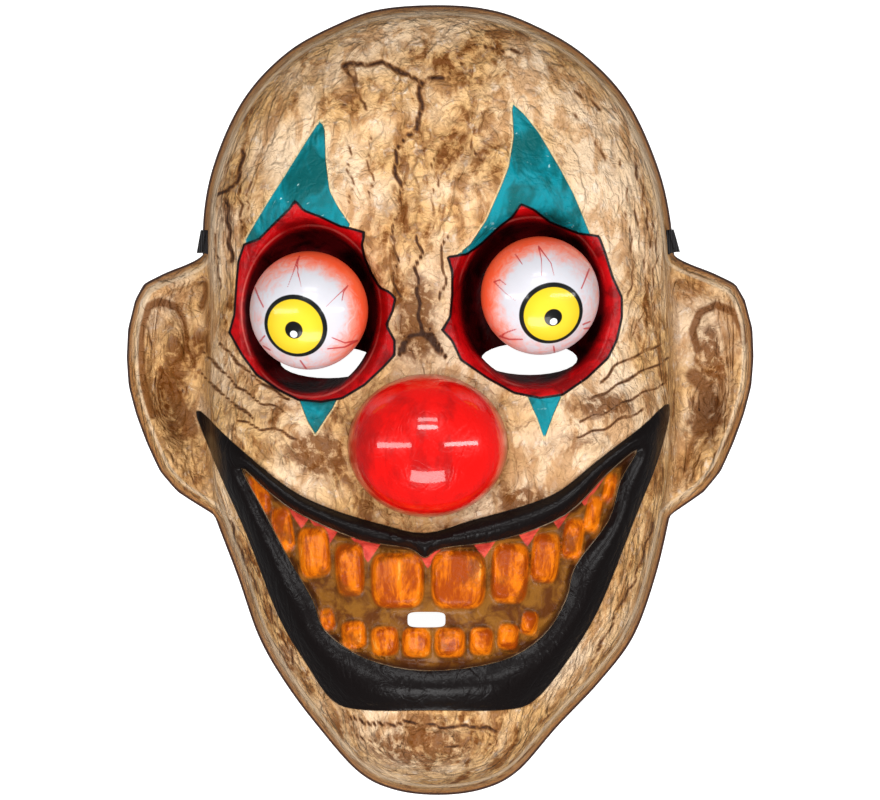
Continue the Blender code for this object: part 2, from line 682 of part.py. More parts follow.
def elastic_strap():
    """A flat woven band swept along its route, with a thick folded end outside each slot."""
    route = strap_route()
    sections = []
    for place, direction, turn in zip(route[:, :3], np.gradient(route[:, :3], axis=0), route[:, 3]):
        along = Vector(direction).normalized()
        through = Vector((-along.y, along.x, 0)).normalized()
        upright = along.cross(through)
        quarter = math.pi / 2 * min(max(turn, 0), 1) * math.copysign(1, place[0])
        width = upright * math.cos(quarter) + through * math.sin(quarter)
        sections.append((Vector(place), width, along.cross(width), STRAP_THICKNESS))
    for index, sign in ((0, -1), (-1, 1)):
        place, width, through, _ = sections[index]
        end = place + strap_exit(sign)[1] * STRAP_END_LENGTH
        grown = [(place, width, through, STRAP_END_THICKNESS), (end, width, through, STRAP_END_THICKNESS)]
        sections = grown[::-1] + sections if index == 0 else sections + grown
    bm = bmesh.new()
    rings = []
    for place, width, through, thickness in sections:
        ring = []
        for across, over in ((-1, -1), (1, -1), (1, 1), (-1, 1)):
            corner = place + width * (STRAP_WIDTH / 2 * across) + through * (thickness / 2 * over)
            ring.append(bm.verts.new(corner))
        rings.append(ring)
    for ring, following in zip(rings, rings[1:]):
        for side in range(4):
            beside = (side + 1) % 4
            bm.faces.new((ring[side], ring[beside], following[beside], following[side]))
    bm.faces.new(rings[0][::-1])
    bm.faces.new(rings[-1])
    bmesh.ops.recalc_face_normals(bm, faces=bm.faces)
    mesh = bpy.data.meshes.new("elastic_strap")
    bm.to_mesh(mesh)
    return add_object("elastic_strap", mesh, "strap_black", STRAP_BLACK)


clear_scene()
mask_shell()
for eye_side in EYE_PLACES:
    eyeball(eye_side)
elastic_strap()
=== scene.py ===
"""The clown mask with its painted skin, lying face up on a white table as in the photo."""

import math

import bmesh
import bpy
import numpy as np
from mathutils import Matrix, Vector


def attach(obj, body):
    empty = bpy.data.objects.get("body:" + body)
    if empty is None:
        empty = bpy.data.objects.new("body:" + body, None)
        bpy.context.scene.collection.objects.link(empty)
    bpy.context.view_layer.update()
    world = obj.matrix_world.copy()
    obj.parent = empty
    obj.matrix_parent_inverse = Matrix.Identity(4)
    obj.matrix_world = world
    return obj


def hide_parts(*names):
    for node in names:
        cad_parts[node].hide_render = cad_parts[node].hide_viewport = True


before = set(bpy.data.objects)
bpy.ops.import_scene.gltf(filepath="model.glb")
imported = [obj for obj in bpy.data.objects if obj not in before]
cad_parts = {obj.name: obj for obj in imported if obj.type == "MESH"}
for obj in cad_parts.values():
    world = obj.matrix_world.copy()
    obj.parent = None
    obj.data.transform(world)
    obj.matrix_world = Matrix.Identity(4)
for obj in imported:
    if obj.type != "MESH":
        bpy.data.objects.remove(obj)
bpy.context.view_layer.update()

MM = 0.001

# The formed sheet
MASK_HEIGHT = 0.270
FACE_WIDTH = 0.160
FACE_DEPTH = 0.066
SHEET = 0.0012
SIDE_WALL_HEIGHT = 0.020
SIDE_WALL_DRAFT = 0.0034
DOME_ROUNDNESS = 2.3

# Ears, formed in the same sheet
EAR_HEIGHT = 0.0885
EAR_REACH = 0.0255
EAR_LIFT = 0.012
EAR_EDGE_RADIUS = 0.0045
EAR_HELIX_RISE = 0.0035
EAR_GROOVE_DEPTH = 0.0040
EAR_FILLET = 0.012

# Nose, a ball that the grid of the sheet is centred on
NOSE_WIDTH = 0.0532
NOSE_HEIGHT = 0.0476
NOSE_TIP = 0.098
NOSE_WALL_DRAFT = 0.0016

# Eyeballs and the sockets that hold them
EYEBALL_DIAMETER = 0.040
EYEBALL_WALL = 0.0012
EYEBALL_BASE_DIAMETER = 0.020
SOCKET_FLOOR = 0.044
SOCKET_SLOPE = 0.0095
SEAT_CLEARANCE = 0.0003
EYE_SLOT_WIDTH = 0.0325
EYE_SLOT_HEIGHT = 0.0108
EYE_SLOT_REACH = 0.0110

# Mouth: a raised lip round a sunken row of teeth
MOUTH_WIDTH = 0.1613
MOUTH_HEIGHT = 0.1036
LIP_RISE = 0.0042
MOUTH_SINK = 0.0035
TOOTH_RISE = 0.0034
TOOTH_EDGE = 0.0024
MOUTH_SLOT_WIDTH = 0.0128
MOUTH_SLOT_HEIGHT = 0.0052

# Elastic strap, its slots in the side walls and its rolled ends
STRAP_WIDTH = 0.0080
STRAP_THICKNESS = 0.0012
STRAP_HEIGHT = 0.0155
STRAP_END_LENGTH = 0.0020
STRAP_END_THICKNESS = 0.0030
STRAP_CLEARANCE = 0.0007
STRAP_SWEEP_WIDTH = 0.140
STRAP_SWEEP_HEIGHT = 0.072

# How finely the sheet is built: points along the trim edge that the ears' height is measured from,
# spokes out from the nose, and the rings of each face of the sheet along the ears, the side wall,
# the face, the nose's wall and the nose
TRIM_POINTS = 200
SHELL_SPOKES = 540
FRONT_RINGS = (26, 8, 70, 4, 18)
BACK_RINGS = (10, 4, 30, 2, 6)

# The other pieces: sides of a slot's cutter and of the strap, then sides and rings of an eyeball
SLOT_SIDES = 28
STRAP_SIDES = 20
BALL_SIDES = 224
BALL_OUTER_RINGS = 100
BALL_INNER_RINGS = 24

# Angles in degrees from which an edge of a piece is shaded as sharp
SHELL_SHARP = 55
OTHER_SHARP = 50

# The face's outline without ears, from the crown to the chin
# Columns: down (share of MASK_HEIGHT), out to each side and lean to the right (shares of half FACE_WIDTH)
FACE_OUTLINE = [
    (0.000, 0.000, -0.010),
    (0.005, 0.225, -0.025),
    (0.022, 0.400, -0.022),
    (0.058, 0.620, -0.025),
    (0.115, 0.808, -0.022),
    (0.191, 0.934, -0.020),
    (0.267, 0.996, -0.014),
    (0.373, 1.010, 0.000),
    (0.500, 1.025, 0.000),
    (0.601, 1.010, 0.002),
    (0.647, 0.972, 0.010),
    (0.723, 0.893, 0.028),
    (0.799, 0.801, 0.026),
    (0.856, 0.675, 0.009),
    (0.913, 0.513, -0.010),
    (0.970, 0.342, -0.010),
    (0.993, 0.190, -0.010),
    (1.000, 0.000, -0.010),
]

# How far an ear stands out beyond the face
# Columns: down (share of EAR_HEIGHT), out (share of EAR_REACH)
EAR_TOP = 0.318
EAR_OUTLINE = [
    (0.000, 0.00),
    (0.030, 0.20),
    (0.060, 0.48),
    (0.105, 0.80),
    (0.170, 0.92),
    (0.280, 1.00),
    (0.390, 1.00),
    (0.500, 0.96),
    (0.610, 0.86),
    (0.720, 0.73),
    (0.830, 0.58),
    (0.910, 0.38),
    (0.970, 0.13),
    (1.000, 0.00),
]

# Broad swellings and hollows of the face
# Columns: name, across (share of half FACE_WIDTH), up (share of half MASK_HEIGHT),
# half width, half height (shares of FACE_WIDTH), rise (share of FACE_DEPTH)
SWELLINGS = [
    ("crown_left", -0.42, 0.74, 0.17, 0.13, 0.040),
    ("crown_right", 0.36, 0.77, 0.17, 0.13, 0.040),
    ("brow_left", -0.56, 0.50, 0.16, 0.075, 0.090),
    ("brow_right", 0.42, 0.53, 0.16, 0.075, 0.090),
    ("frown", -0.06, 0.40, 0.05, 0.13, 0.030),
    ("nose_bridge", -0.05, 0.14, 0.055, 0.10, 0.035),
    ("cheek_left", -0.66, -0.09, 0.15, 0.080, 0.125),
    ("cheek_right", 0.66, -0.05, 0.15, 0.080, 0.125),
    ("muzzle", -0.05, -0.50, 0.24, 0.17, 0.090),
    ("chin", -0.03, -0.88, 0.15, 0.070, 0.190),
]

# Centres of the nose, eyeballs, sockets and slots
# Columns: across (share of half FACE_WIDTH), up (share of half MASK_HEIGHT)
NOSE_PLACE = (-0.052, -0.114)
EYE_PLACES = {"left": (-0.553, 0.224), "right": (0.422, 0.261)}
EYE_SLOT_PLACES = {"left": (-0.473, 0.095), "right": (0.378, 0.103)}
MOUTH_SLOT_PLACE = (-0.057, -0.549)
MOUTH_PLACE = (-0.033, -0.777)
STRAP_UP = 0.400

# Sockets. Columns: across, up (shares as above), half width, half height (shares of EYEBALL_DIAMETER)
SOCKETS = {
    "left": (-0.545, 0.222, 0.66, 0.81),
    "right": (0.390, 0.245, 0.71, 0.80),
}

# The lip's outer and inner edges, clockwise from the left corner
# Columns: across (share of half MOUTH_WIDTH), up (share of MOUTH_HEIGHT)
LIP_OUTER = [
    (-1.00, 0.98),
    (-0.83, 0.87),
    (-0.61, 0.73),
    (-0.43, 0.66),
    (-0.22, 0.61),
    (-0.03, 0.58),
    (0.16, 0.62),
    (0.39, 0.67),
    (0.54, 0.72),
    (0.70, 0.82),
    (0.87, 0.92),
    (1.00, 1.00),
    (0.96, 0.84),
    (0.85, 0.62),
    (0.70, 0.33),
    (0.56, 0.15),
    (0.43, 0.03),
    (0.30, 0.00),
    (0.00, 0.00),
    (-0.29, 0.00),
    (-0.42, 0.03),
    (-0.53, 0.15),
    (-0.65, 0.31),
    (-0.78, 0.57),
    (-0.90, 0.78),
]
LIP_INNER = [
    (-0.80, 0.79),
    (-0.68, 0.71),
    (-0.55, 0.64),
    (-0.31, 0.56),
    (-0.10, 0.53),
    (-0.03, 0.50),
    (0.04, 0.53),
    (0.30, 0.56),
    (0.56, 0.64),
    (0.73, 0.77),
    (0.86, 0.85),
    (0.79, 0.75),
    (0.74, 0.62),
    (0.60, 0.47),
    (0.56, 0.36),
    (0.46, 0.24),
    (0.28, 0.16),
    (-0.03, 0.13),
    (-0.28, 0.17),
    (-0.45, 0.26),
    (-0.50, 0.36),
    (-0.62, 0.52),
    (-0.70, 0.64),
]

# Teeth. Columns: across (share of half MOUTH_WIDTH), up (share of MOUTH_HEIGHT),
# width (share of half MOUTH_WIDTH), height (share of MOUTH_HEIGHT), lean to the right at the top (degrees)
TEETH = [
    (-0.723, 0.703, 0.092, 0.150, -12),
    (-0.625, 0.590, 0.096, 0.165, -10),
    (-0.494, 0.515, 0.140, 0.175, -6),
    (-0.345, 0.460, 0.130, 0.185, -3),
    (-0.145, 0.425, 0.226, 0.185, 0),
    (0.110, 0.427, 0.232, 0.195, 0),
    (0.325, 0.448, 0.165, 0.205, 3),
    (0.474, 0.498, 0.128, 0.175, 6),
    (0.590, 0.560, 0.098, 0.150, 8),
    (0.675, 0.640, 0.078, 0.140, 12),
    (0.742, 0.725, 0.062, 0.120, 14),
    (-0.438, 0.296, 0.070, 0.085, -8),
    (-0.328, 0.246, 0.112, 0.100, -6),
    (-0.198, 0.226, 0.124, 0.105, -2),
    (-0.066, 0.222, 0.130, 0.105, 0),
    (0.074, 0.222, 0.136, 0.105, 0),
    (0.206, 0.226, 0.108, 0.100, 2),
    (0.318, 0.240, 0.098, 0.095, 5),
    (0.408, 0.284, 0.080, 0.090, 8),
]

# Relief of the right ear inside its rolled edge, mirrored for the left
# Columns: name, out (share of EAR_REACH from the face), down (share of EAR_HEIGHT),
# half width (share of EAR_REACH), half height (share of EAR_HEIGHT), rise (share of EAR_LIFT)
EAR_RELIEF = [
    ("antihelix", 0.46, 0.34, 0.20, 0.13, 0.30),
    ("concha", 0.32, 0.55, 0.30, 0.09, -0.50),
    ("lobe", 0.35, 0.80, 0.30, 0.10, 0.22),
]


def smooth_step(share):
    share = np.clip(share, 0, 1)
    return share * share * (3 - 2 * share)


def smooth_max(a, b, reach):
    """The higher of two surfaces, with the corner where they meet rounded over reach."""
    overlap = np.clip(reach - np.abs(a - b), 0, None) / reach
    return np.maximum(a, b) + overlap * overlap * reach / 4


def on_face(place):
    return place[0] * FACE_WIDTH / 2, place[1] * MASK_HEIGHT / 2


def in_mouth(row):
    middle_x, bottom_y = on_face(MOUTH_PLACE)
    return middle_x + row[0] * MOUTH_WIDTH / 2, bottom_y + row[1] * MOUTH_HEIGHT


def smooth_span(p0, p1, p2, p3, share):
    """The point that lies a share of the way from p1 to p2, on a smooth curve through all four."""
    bend = 2 * p0 - 5 * p1 + 4 * p2 - p3
    twist = 3 * p1 - p0 - 3 * p2 + p3
    return p1 + 0.5 * ((p2 - p0) * share + bend * share**2 + twist * share**3)


def closed_curve(points, steps):
    """A smooth closed curve through the points, as rows of x and y, with steps rows to each span."""
    knots = np.array(points)
    shares = np.arange(steps)[:, None] / steps
    shifted = (np.roll(knots, shift, axis=0) for shift in (1, 0, -1, -2))
    return np.concatenate([smooth_span(*four, shares) for four in zip(*shifted)])


def even_points(curve, count):
    """count points evenly spaced along a closed curve."""
    closed = np.vstack([curve, curve[:1]])
    run = np.concatenate([[0], np.cumsum(np.hypot(*np.diff(closed, axis=0).T))])
    places = np.linspace(0, run[-1], count, endpoint=False)
    return np.column_stack([np.interp(places, run, closed[:, axis]) for axis in (0, 1)])


def off_span(start, end, x, y):
    """Distance from each point to one straight span."""
    (ax, ay), (bx, by) = start, end
    dx, dy = bx - ax, by - ay
    share = np.clip(((x - ax) * dx + (y - ay) * dy) / (dx * dx + dy * dy), 0, 1)
    return np.hypot(x - ax - share * dx, y - ay - share * dy)


def inside_distance(curve, x, y):
    """How far each point lies inside a closed curve, negative outside it."""
    nearest = np.full(x.shape, np.inf)
    crossings = np.zeros(x.shape, int)
    for start, end in zip(curve, np.roll(curve, -1, axis=0)):
        nearest = np.minimum(nearest, off_span(start, end, x, y))
        (ax, ay), (bx, by) = start, end
        if ay != by:
            spans = (ay > y) != (by > y)
            crossings += spans & (x < ax + (y - ay) * (bx - ax) / (by - ay))
    return np.where(crossings % 2 == 1, nearest, -nearest)


def inside_any(curves, x, y):
    """How far each point lies inside the nearest of several closed curves, negative outside them."""
    inside = np.full(x.shape, -1.0)
    for curve in curves:
        inside = np.maximum(inside, inside_distance(np.array(curve) * MM, x, y))
    return inside


def face_outline():
    """The face's outline at the trim edge, without its ears."""
    half, height = FACE_WIDTH / 2, MASK_HEIGHT
    right = [((lean + out) * half, (0.5 - down) * height) for down, out, lean in FACE_OUTLINE]
    left = [((lean - out) * half, (0.5 - down) * height) for down, out, lean in FACE_OUTLINE]
    return closed_curve(right + left[-2:0:-1], 24)


def face_sides(y):
    """Where the face's outline runs at its left and right side."""
    crown, chin = np.argmax(FACE_EDGE[:, 1]), np.argmin(FACE_EDGE[:, 1])
    right, left = FACE_EDGE[crown:chin], FACE_EDGE[: chin - 1 : -1]
    return [np.interp(-y, -side[:, 1], side[:, 0]) for side in (left, right)]


def ear_reach(y):
    down, out = np.array(EAR_OUTLINE).T
    ear_top = (0.5 - EAR_TOP) * MASK_HEIGHT
    return EAR_REACH * np.interp((ear_top - y) / EAR_HEIGHT, down, out, left=0, right=0)


def with_ears(outline):
    x, y = outline.T
    return np.column_stack([x + np.sign(x) * ear_reach(y), y])


class Polar:
    """A closed curve seen from the nose: its radius in any direction."""

    def __init__(self, curve):
        x, y = (curve - on_face(NOSE_PLACE)).T
        angle, radius = np.arctan2(y, x), np.hypot(x, y)
        order = np.argsort(angle)
        self.angle, self.radius = angle[order], radius[order]

    def __call__(self, angle):
        return np.interp(angle, self.angle, self.radius, period=2 * math.pi)


FACE_EDGE = face_outline()
TRIM_EDGE = with_ears(FACE_EDGE)
FACE_RADIUS = Polar(FACE_EDGE)
LIP_OUTER_EDGE = closed_curve([in_mouth(row) for row in LIP_OUTER], 4)
LIP_INNER_EDGE = closed_curve([in_mouth(row) for row in LIP_INNER], 4)


def dome(x, y):
    """The plain face: a side wall with draft, then a rounded dome over it."""
    nose_x, nose_y = on_face(NOSE_PLACE)
    radius = np.hypot(x - nose_x, y - nose_y)
    edge = FACE_RADIUS(np.arctan2(y - nose_y, x - nose_x))
    shoulder = edge - SIDE_WALL_DRAFT
    share = np.clip(radius / shoulder, 0, 1)
    over_wall = FACE_DEPTH - SIDE_WALL_HEIGHT
    top = SIDE_WALL_HEIGHT + over_wall * (1 - share**DOME_ROUNDNESS) ** (1 / DOME_ROUNDNESS)
    wall = SIDE_WALL_HEIGHT * (edge - radius) / SIDE_WALL_DRAFT
    return np.where(radius < shoulder, top, wall)


def swellings(x, y):
    total = np.zeros(x.shape)
    for _, across, up, half_width, half_height, rise in SWELLINGS:
        middle_x, middle_y = on_face((across, up))
        far = ((x - middle_x) / (half_width * FACE_WIDTH)) ** 2
        far = far + ((y - middle_y) / (half_height * FACE_WIDTH)) ** 2
        total += rise * FACE_DEPTH * np.exp(-far)
    return total


def ears(x, y):
    """A low plateau with a rounded trim edge, a rolled helix, a groove inside it and the inner ear."""
    inside = inside_distance(even_points(TRIM_EDGE, TRIM_POINTS), x, y)
    edge = np.clip(1 - inside / EAR_EDGE_RADIUS, 0, 1)
    left, right = face_sides(y)
    out = np.maximum(x - right, left - x) / EAR_REACH
    down = ((0.5 - EAR_TOP) * MASK_HEIGHT - y) / EAR_HEIGHT
    beside_ear = smooth_step((0.52 - np.abs(down - 0.5)) / 0.02)
    height = EAR_LIFT * np.sqrt(1 - edge * edge) * beside_ear
    on_ear = smooth_step(4 * out + 1) * beside_ear
    helix = np.exp(-(((inside - EAR_EDGE_RADIUS) / EAR_EDGE_RADIUS) ** 2))
    groove = np.exp(-(((inside - 2.4 * EAR_EDGE_RADIUS) / (0.8 * EAR_EDGE_RADIUS)) ** 2))
    groove = groove * smooth_step((0.80 - down) / 0.25)
    relief = EAR_HELIX_RISE * helix - EAR_GROOVE_DEPTH * groove
    for _, out_middle, down_middle, half_out, half_down, rise in EAR_RELIEF:
        far = ((out - out_middle) / half_out) ** 2 + ((down - down_middle) / half_down) ** 2
        relief = relief + rise * EAR_LIFT * np.exp(-far)
    return np.where(inside > 0, height + on_ear * (1 - edge) * relief, inside), on_ear


def in_sockets(x, y):
    """Each socket's half width, and how far in each point lies: 1 at its middle, 0 at its edge."""
    for across, up, half_width, half_height in SOCKETS.values():
        middle_x, middle_y = on_face((across, up))
        half_x, half_y = half_width * EYEBALL_DIAMETER, half_height * EYEBALL_DIAMETER
        yield half_x, 1 - np.hypot((x - middle_x) / half_x, (y - middle_y) / half_y)


def sockets(height, x, y):
    """Sinks each socket to its flat floor."""
    for half_x, share in in_sockets(x, y):
        height = height + (SOCKET_FLOOR - height) * smooth_step(share * half_x / SOCKET_SLOPE)
    return height


def off_nose(x, y):
    """How far each point lies from the nose's middle: 1 at its edge."""
    nose_x, nose_y = on_face(NOSE_PLACE)
    return np.hypot((x - nose_x) * 2 / NOSE_WIDTH, (y - nose_y) * 2 / NOSE_HEIGHT)


def nose(x, y):
    """The front half of a ball on a short steep wall."""
    share = off_nose(x, y)
    equator = NOSE_TIP - NOSE_HEIGHT / 2
    ball = equator + NOSE_HEIGHT / 2 * np.sqrt(np.clip(1 - share**2, 0, None))
    return np.where(share < 1, ball, equator * (1 - (share - 1) * NOSE_HEIGHT / 2 / NOSE_WALL_DRAFT))


def mouth(x, y):
    """The lip's roll, the sunken mouth inside it and the teeth in the mouth."""
    outer = inside_distance(LIP_OUTER_EDGE, x, y)
    inner = inside_distance(LIP_INNER_EDGE, x, y)
    across_lip = np.clip(outer / np.maximum(outer - inner, 1e-9), 0, 1)
    lip = LIP_RISE * np.sin(math.pi * across_lip) * (outer > 0) * (inner < 0)
    sunk = -MOUTH_SINK * smooth_step(inner / TOOTH_EDGE)
    tooth = smooth_step(inside_teeth(x, y) / TOOTH_EDGE)
    return lip + sunk + TOOTH_RISE * tooth * smooth_step(inner / TOOTH_EDGE)


def inside_teeth(x, y):
    """How far each point lies inside its nearest tooth, negative outside the teeth."""
    nearest = np.full(x.shape, -MOUTH_HEIGHT)
    for across, up, width, height, lean in TEETH:
        middle_x, middle_y = in_mouth((across, up))
        half_x, half_y = width * MOUTH_WIDTH / 4, height * MOUTH_HEIGHT / 2
        turn = math.radians(lean)
        side = np.abs((x - middle_x) * math.cos(turn) - (y - middle_y) * math.sin(turn)) / half_x
        rise = np.abs((x - middle_x) * math.sin(turn) + (y - middle_y) * math.cos(turn)) / half_y
        share = (side**4 + rise**4) ** 0.25
        nearest = np.maximum(nearest, (1.04 - share) * half_x)
    return nearest


def outer_height(x, y):
    """How high the sheet's front face stands over the plane it rests on."""
    base = dome(x, y)
    radius = np.clip(base / SIDE_WALL_HEIGHT - 1, 0, 1)
    face = base + smooth_step(radius) * (swellings(x, y) + mouth(x, y))
    face = sockets(face, x, y)
    face = smooth_max(face, nose(x, y), SHEET)
    ear, on_ear = ears(x, y)
    return smooth_max(face, ear, 2 * SHEET + EAR_FILLET * on_ear)


def inner_height(x, y):
    """The sheet's back face: nowhere nearer to the front face than the sheet is thick."""
    lowest = outer_height(x, y) - SHEET
    for share in (0.5, 0.85, 1.0):
        drop = SHEET * math.sqrt(1 - share * share)
        for angle in np.linspace(0, 2 * math.pi, 12, endpoint=False):
            step_x, step_y = share * SHEET * math.cos(angle), share * SHEET * math.sin(angle)
            lowest = np.minimum(lowest, outer_height(x + step_x, y + step_y) - drop)
    return lowest


def ring_radii(angle, trim, inset, counts):
    """Radii from the nose of every ring: out along the ears, up the side wall, the face and the nose."""
    face = FACE_RADIUS(angle)
    across, up = np.cos(angle) * 2 / NOSE_WIDTH, np.sin(angle) * 2 / NOSE_HEIGHT
    nose_edge = 1 / np.hypot(across, up)
    stations = [
        trim,
        np.minimum(face, trim - SIDE_WALL_DRAFT / 8) - inset,
        face - SIDE_WALL_DRAFT - inset,
        nose_edge + NOSE_WALL_DRAFT - inset,
        nose_edge - inset,
        np.zeros(angle.shape),
    ]
    radii = [trim]
    for outer, inner, count in zip(stations, stations[1:], counts):
        radii += [outer + (inner - outer) * step / count for step in range(1, count + 1)]
    return np.array(radii[:-1])


def placed(name, data, location=(0, 0, 0)):
    """A new object that is linked into the scene."""
    made = bpy.data.objects.new(name, data)
    bpy.context.scene.collection.objects.link(made)
    made.location = location
    return made


def shade(mesh, sharp):
    mesh.shade_smooth()
    mesh.set_sharp_from_angle(angle=math.radians(sharp))


def slot_cutter(name, middle, half_sides, roundness, tilt=(0, 0, 0)):
    """A prism with a rounded outline, which cuts a slot through the sheet along its local Z."""
    half_x, half_y, half_z = half_sides
    bm = bmesh.new()
    ring = []
    for angle in np.linspace(0, 2 * math.pi, SLOT_SIDES, endpoint=False):
        across, up = math.cos(angle), math.sin(angle)
        x = half_x * math.copysign(abs(across) ** roundness, across)
        y = half_y * math.copysign(abs(up) ** roundness, up)
        ring.append(bm.verts.new((x, y, -half_z)))
    floor = bm.faces.new(ring)
    grown = bmesh.ops.extrude_face_region(bm, geom=[floor])["geom"]
    risen = [part for part in grown if isinstance(part, bmesh.types.BMVert)]
    bmesh.ops.translate(bm, vec=(0, 0, 2 * half_z), verts=risen)
    bmesh.ops.recalc_face_normals(bm, faces=bm.faces)
    mesh = bpy.data.meshes.new(name)
    bm.to_mesh(mesh)
    cutter = placed(name, mesh, middle)
    cutter.rotation_euler = tilt
    cutter.hide_render = True
    cutter.display_type = "WIRE"
    return cutter


def slot_cutters():
    """Cutters for the two sight slots, the breathing slot and the strap's two slots."""
    made = []
    for side, place in EYE_SLOT_PLACES.items():
        middle = (*on_face(place), SOCKET_FLOOR)
        half_sides = (EYE_SLOT_WIDTH / 2, EYE_SLOT_HEIGHT / 2, EYE_SLOT_REACH)
        made.append(slot_cutter(f"eye_slot_{side}", middle, half_sides, 1.0))
    middle = (*on_face(MOUTH_SLOT_PLACE), FACE_DEPTH)
    half_sides = (MOUTH_SLOT_WIDTH / 2, MOUTH_SLOT_HEIGHT / 2, FACE_DEPTH / 2)
    made.append(slot_cutter("mouth_slot", middle, half_sides, 0.45))
    half_width = STRAP_WIDTH / 2 + STRAP_CLEARANCE
    half_thick = STRAP_THICKNESS / 2 + STRAP_CLEARANCE
    for side, sign in (("left", -1), ("right", 1)):
        place, outward = strap_exit(sign)
        turn = math.atan2(outward.y, outward.x) + math.pi / 2
        half_sides = (half_width, half_thick, 3 * SHEET)
        tilt = (math.pi / 2, 0, turn)
        made.append(slot_cutter(f"strap_slot_{side}", place, half_sides, 0.2, tilt))
    return made


def strap_exit(sign):
    """Where the strap crosses the side wall's outer face on one side, and the wall's outward direction."""
    up = STRAP_UP * MASK_HEIGHT / 2
    sides = face_sides(np.array([up + STRAP_WIDTH / 2, up, up - STRAP_WIDTH / 2]))
    above, at, below = sides[0] if sign < 0 else sides[1]
    outward = Vector((sign * STRAP_WIDTH, sign * (below - above), 0)).normalized()
    x = at - sign * SIDE_WALL_DRAFT * STRAP_HEIGHT / SIDE_WALL_HEIGHT
    return Vector((x, up, STRAP_HEIGHT)), outward


# The strap's route from its middle to one end. It lies on edge on the surface under the mask, then
# turns flat and passes out through the slot.
# Columns: out (share of half STRAP_SWEEP_WIDTH), up (share of STRAP_SWEEP_HEIGHT), turn to flat
STRAP_ROUTE = [
    (0.00, 1.00, 0.0),
    (0.30, 0.97, 0.0),
    (0.56, 0.86, 0.0),
    (0.77, 0.68, 0.0),
    (0.90, 0.46, 0.0),
    (0.95, 0.26, 0.2),
    (0.97, 0.10, 0.7),
]


def strap_route():
    """Rows of x, y, z and turn along the strap's middle line, from its left end to its right."""
    lying = STRAP_WIDTH / 2 + SEAT_CLEARANCE
    half = []
    for out, up, turn in STRAP_ROUTE:
        x, y = out * STRAP_SWEEP_WIDTH / 2, STRAP_UP * MASK_HEIGHT / 2 + up * STRAP_SWEEP_HEIGHT
        half.append((x, y, lying + (STRAP_HEIGHT - lying) * turn, turn))
    ends = []
    for sign in (-1, 1):
        place, outward = strap_exit(sign)
        reaches = (-2 * SHEET, 2 * STRAP_CLEARANCE + SEAT_CLEARANCE)
        ends.append([(*(place + outward * reach), 1.0) for reach in reaches])
    mirrored = [(-x, y, z, turn) for x, y, z, turn in half[:0:-1]]
    route = np.array(ends[0][::-1] + mirrored + half + ends[1])
    padded = np.vstack([2 * route[0] - route[1], route, 2 * route[-1] - route[-2]])
    fours = zip(padded, padded[1:], padded[2:], padded[3:])
    dense = [smooth_span(*four, share) for four in fours for share in np.arange(4) / 4]
    return np.array(dense + [route[-1]])


# Finer detail of the front, which the CAD solid leaves out. All places below are in millimetres.

# The painted sockets' jagged outlines, clockwise from the top point. Columns: x, y
SOCKET_PAINT = {
    "left": [
        (-48.9, 68.0), (-45.8, 64.3), (-40.3, 62.2), (-33.8, 59.1), (-28.4, 57.8), (-24.9, 56.7),
        (-26.0, 52.6), (-25.3, 48.5), (-23.2, 43.4), (-20.2, 38.3), (-16.7, 36.6), (-14.7, 34.5),
        (-15.7, 29.7), (-17.8, 25.3), (-15.0, 20.2), (-15.0, 15.0), (-19.1, 10.6), (-25.3, 4.8),
        (-32.8, 0.3), (-40.0, -1.0), (-47.8, -0.3), (-54.7, 3.1), (-62.2, 8.2), (-67.3, 15.0),
        (-71.8, 22.9), (-70.1, 28.7), (-69.4, 38.3), (-68.7, 46.8), (-66.6, 53.0), (-61.5, 54.7),
        (-56.4, 59.8), (-51.3, 64.6),
    ],
    "right": [
        (27.2, 66.6), (31.8, 64.6), (37.3, 60.5), (46.8, 56.7), (54.0, 55.7), (56.1, 50.2),
        (58.8, 41.4), (61.9, 34.9), (61.9, 28.0), (60.2, 20.2), (57.1, 14.0), (49.9, 7.2),
        (41.4, 1.4), (33.8, 0.3), (24.9, 2.1), (15.7, 7.2), (6.8, 13.3), (3.8, 19.8),
        (0.3, 23.6), (3.1, 28.0), (3.8, 35.5), (3.8, 43.4), (2.1, 48.5), (8.9, 49.6),
        (13.7, 53.0), (19.8, 58.8), (24.3, 62.2),
    ],
}

# Teal spikes above and below the sockets, which the sockets' paint covers in part. Columns: x, y
TEAL_PAINT = [
    [(-40.3, 95.0), (-39.0, 91.3), (-38.6, 80.7), (-37.3, 70.7), (-34.5, 65.3), (-30.1, 58.8),
     (-45.1, 48.5), (-66.3, 53.3), (-62.5, 59.8), (-58.1, 67.0), (-53.3, 74.5), (-49.9, 80.0),
     (-44.8, 88.2)],
    [(24.3, 100.5), (28.7, 96.4), (33.5, 90.2), (40.3, 78.6), (45.1, 69.7), (47.8, 63.2), (51.3, 54.7),
     (27.3, 47.2), (5.1, 48.5), (10.3, 52.6), (15.7, 60.8), (20.5, 71.8), (23.2, 78.6), (24.9, 88.9)],
    [(-48.5, 2.7), (-34.2, 1.4), (-36.2, -2.7), (-38.6, -6.2), (-42.0, -11.6), (-44.8, -6.8)],
    [(29.4, 1.4), (41.0, 1.4), (38.3, -4.8), (35.2, -13.3), (32.8, -6.2)],
]

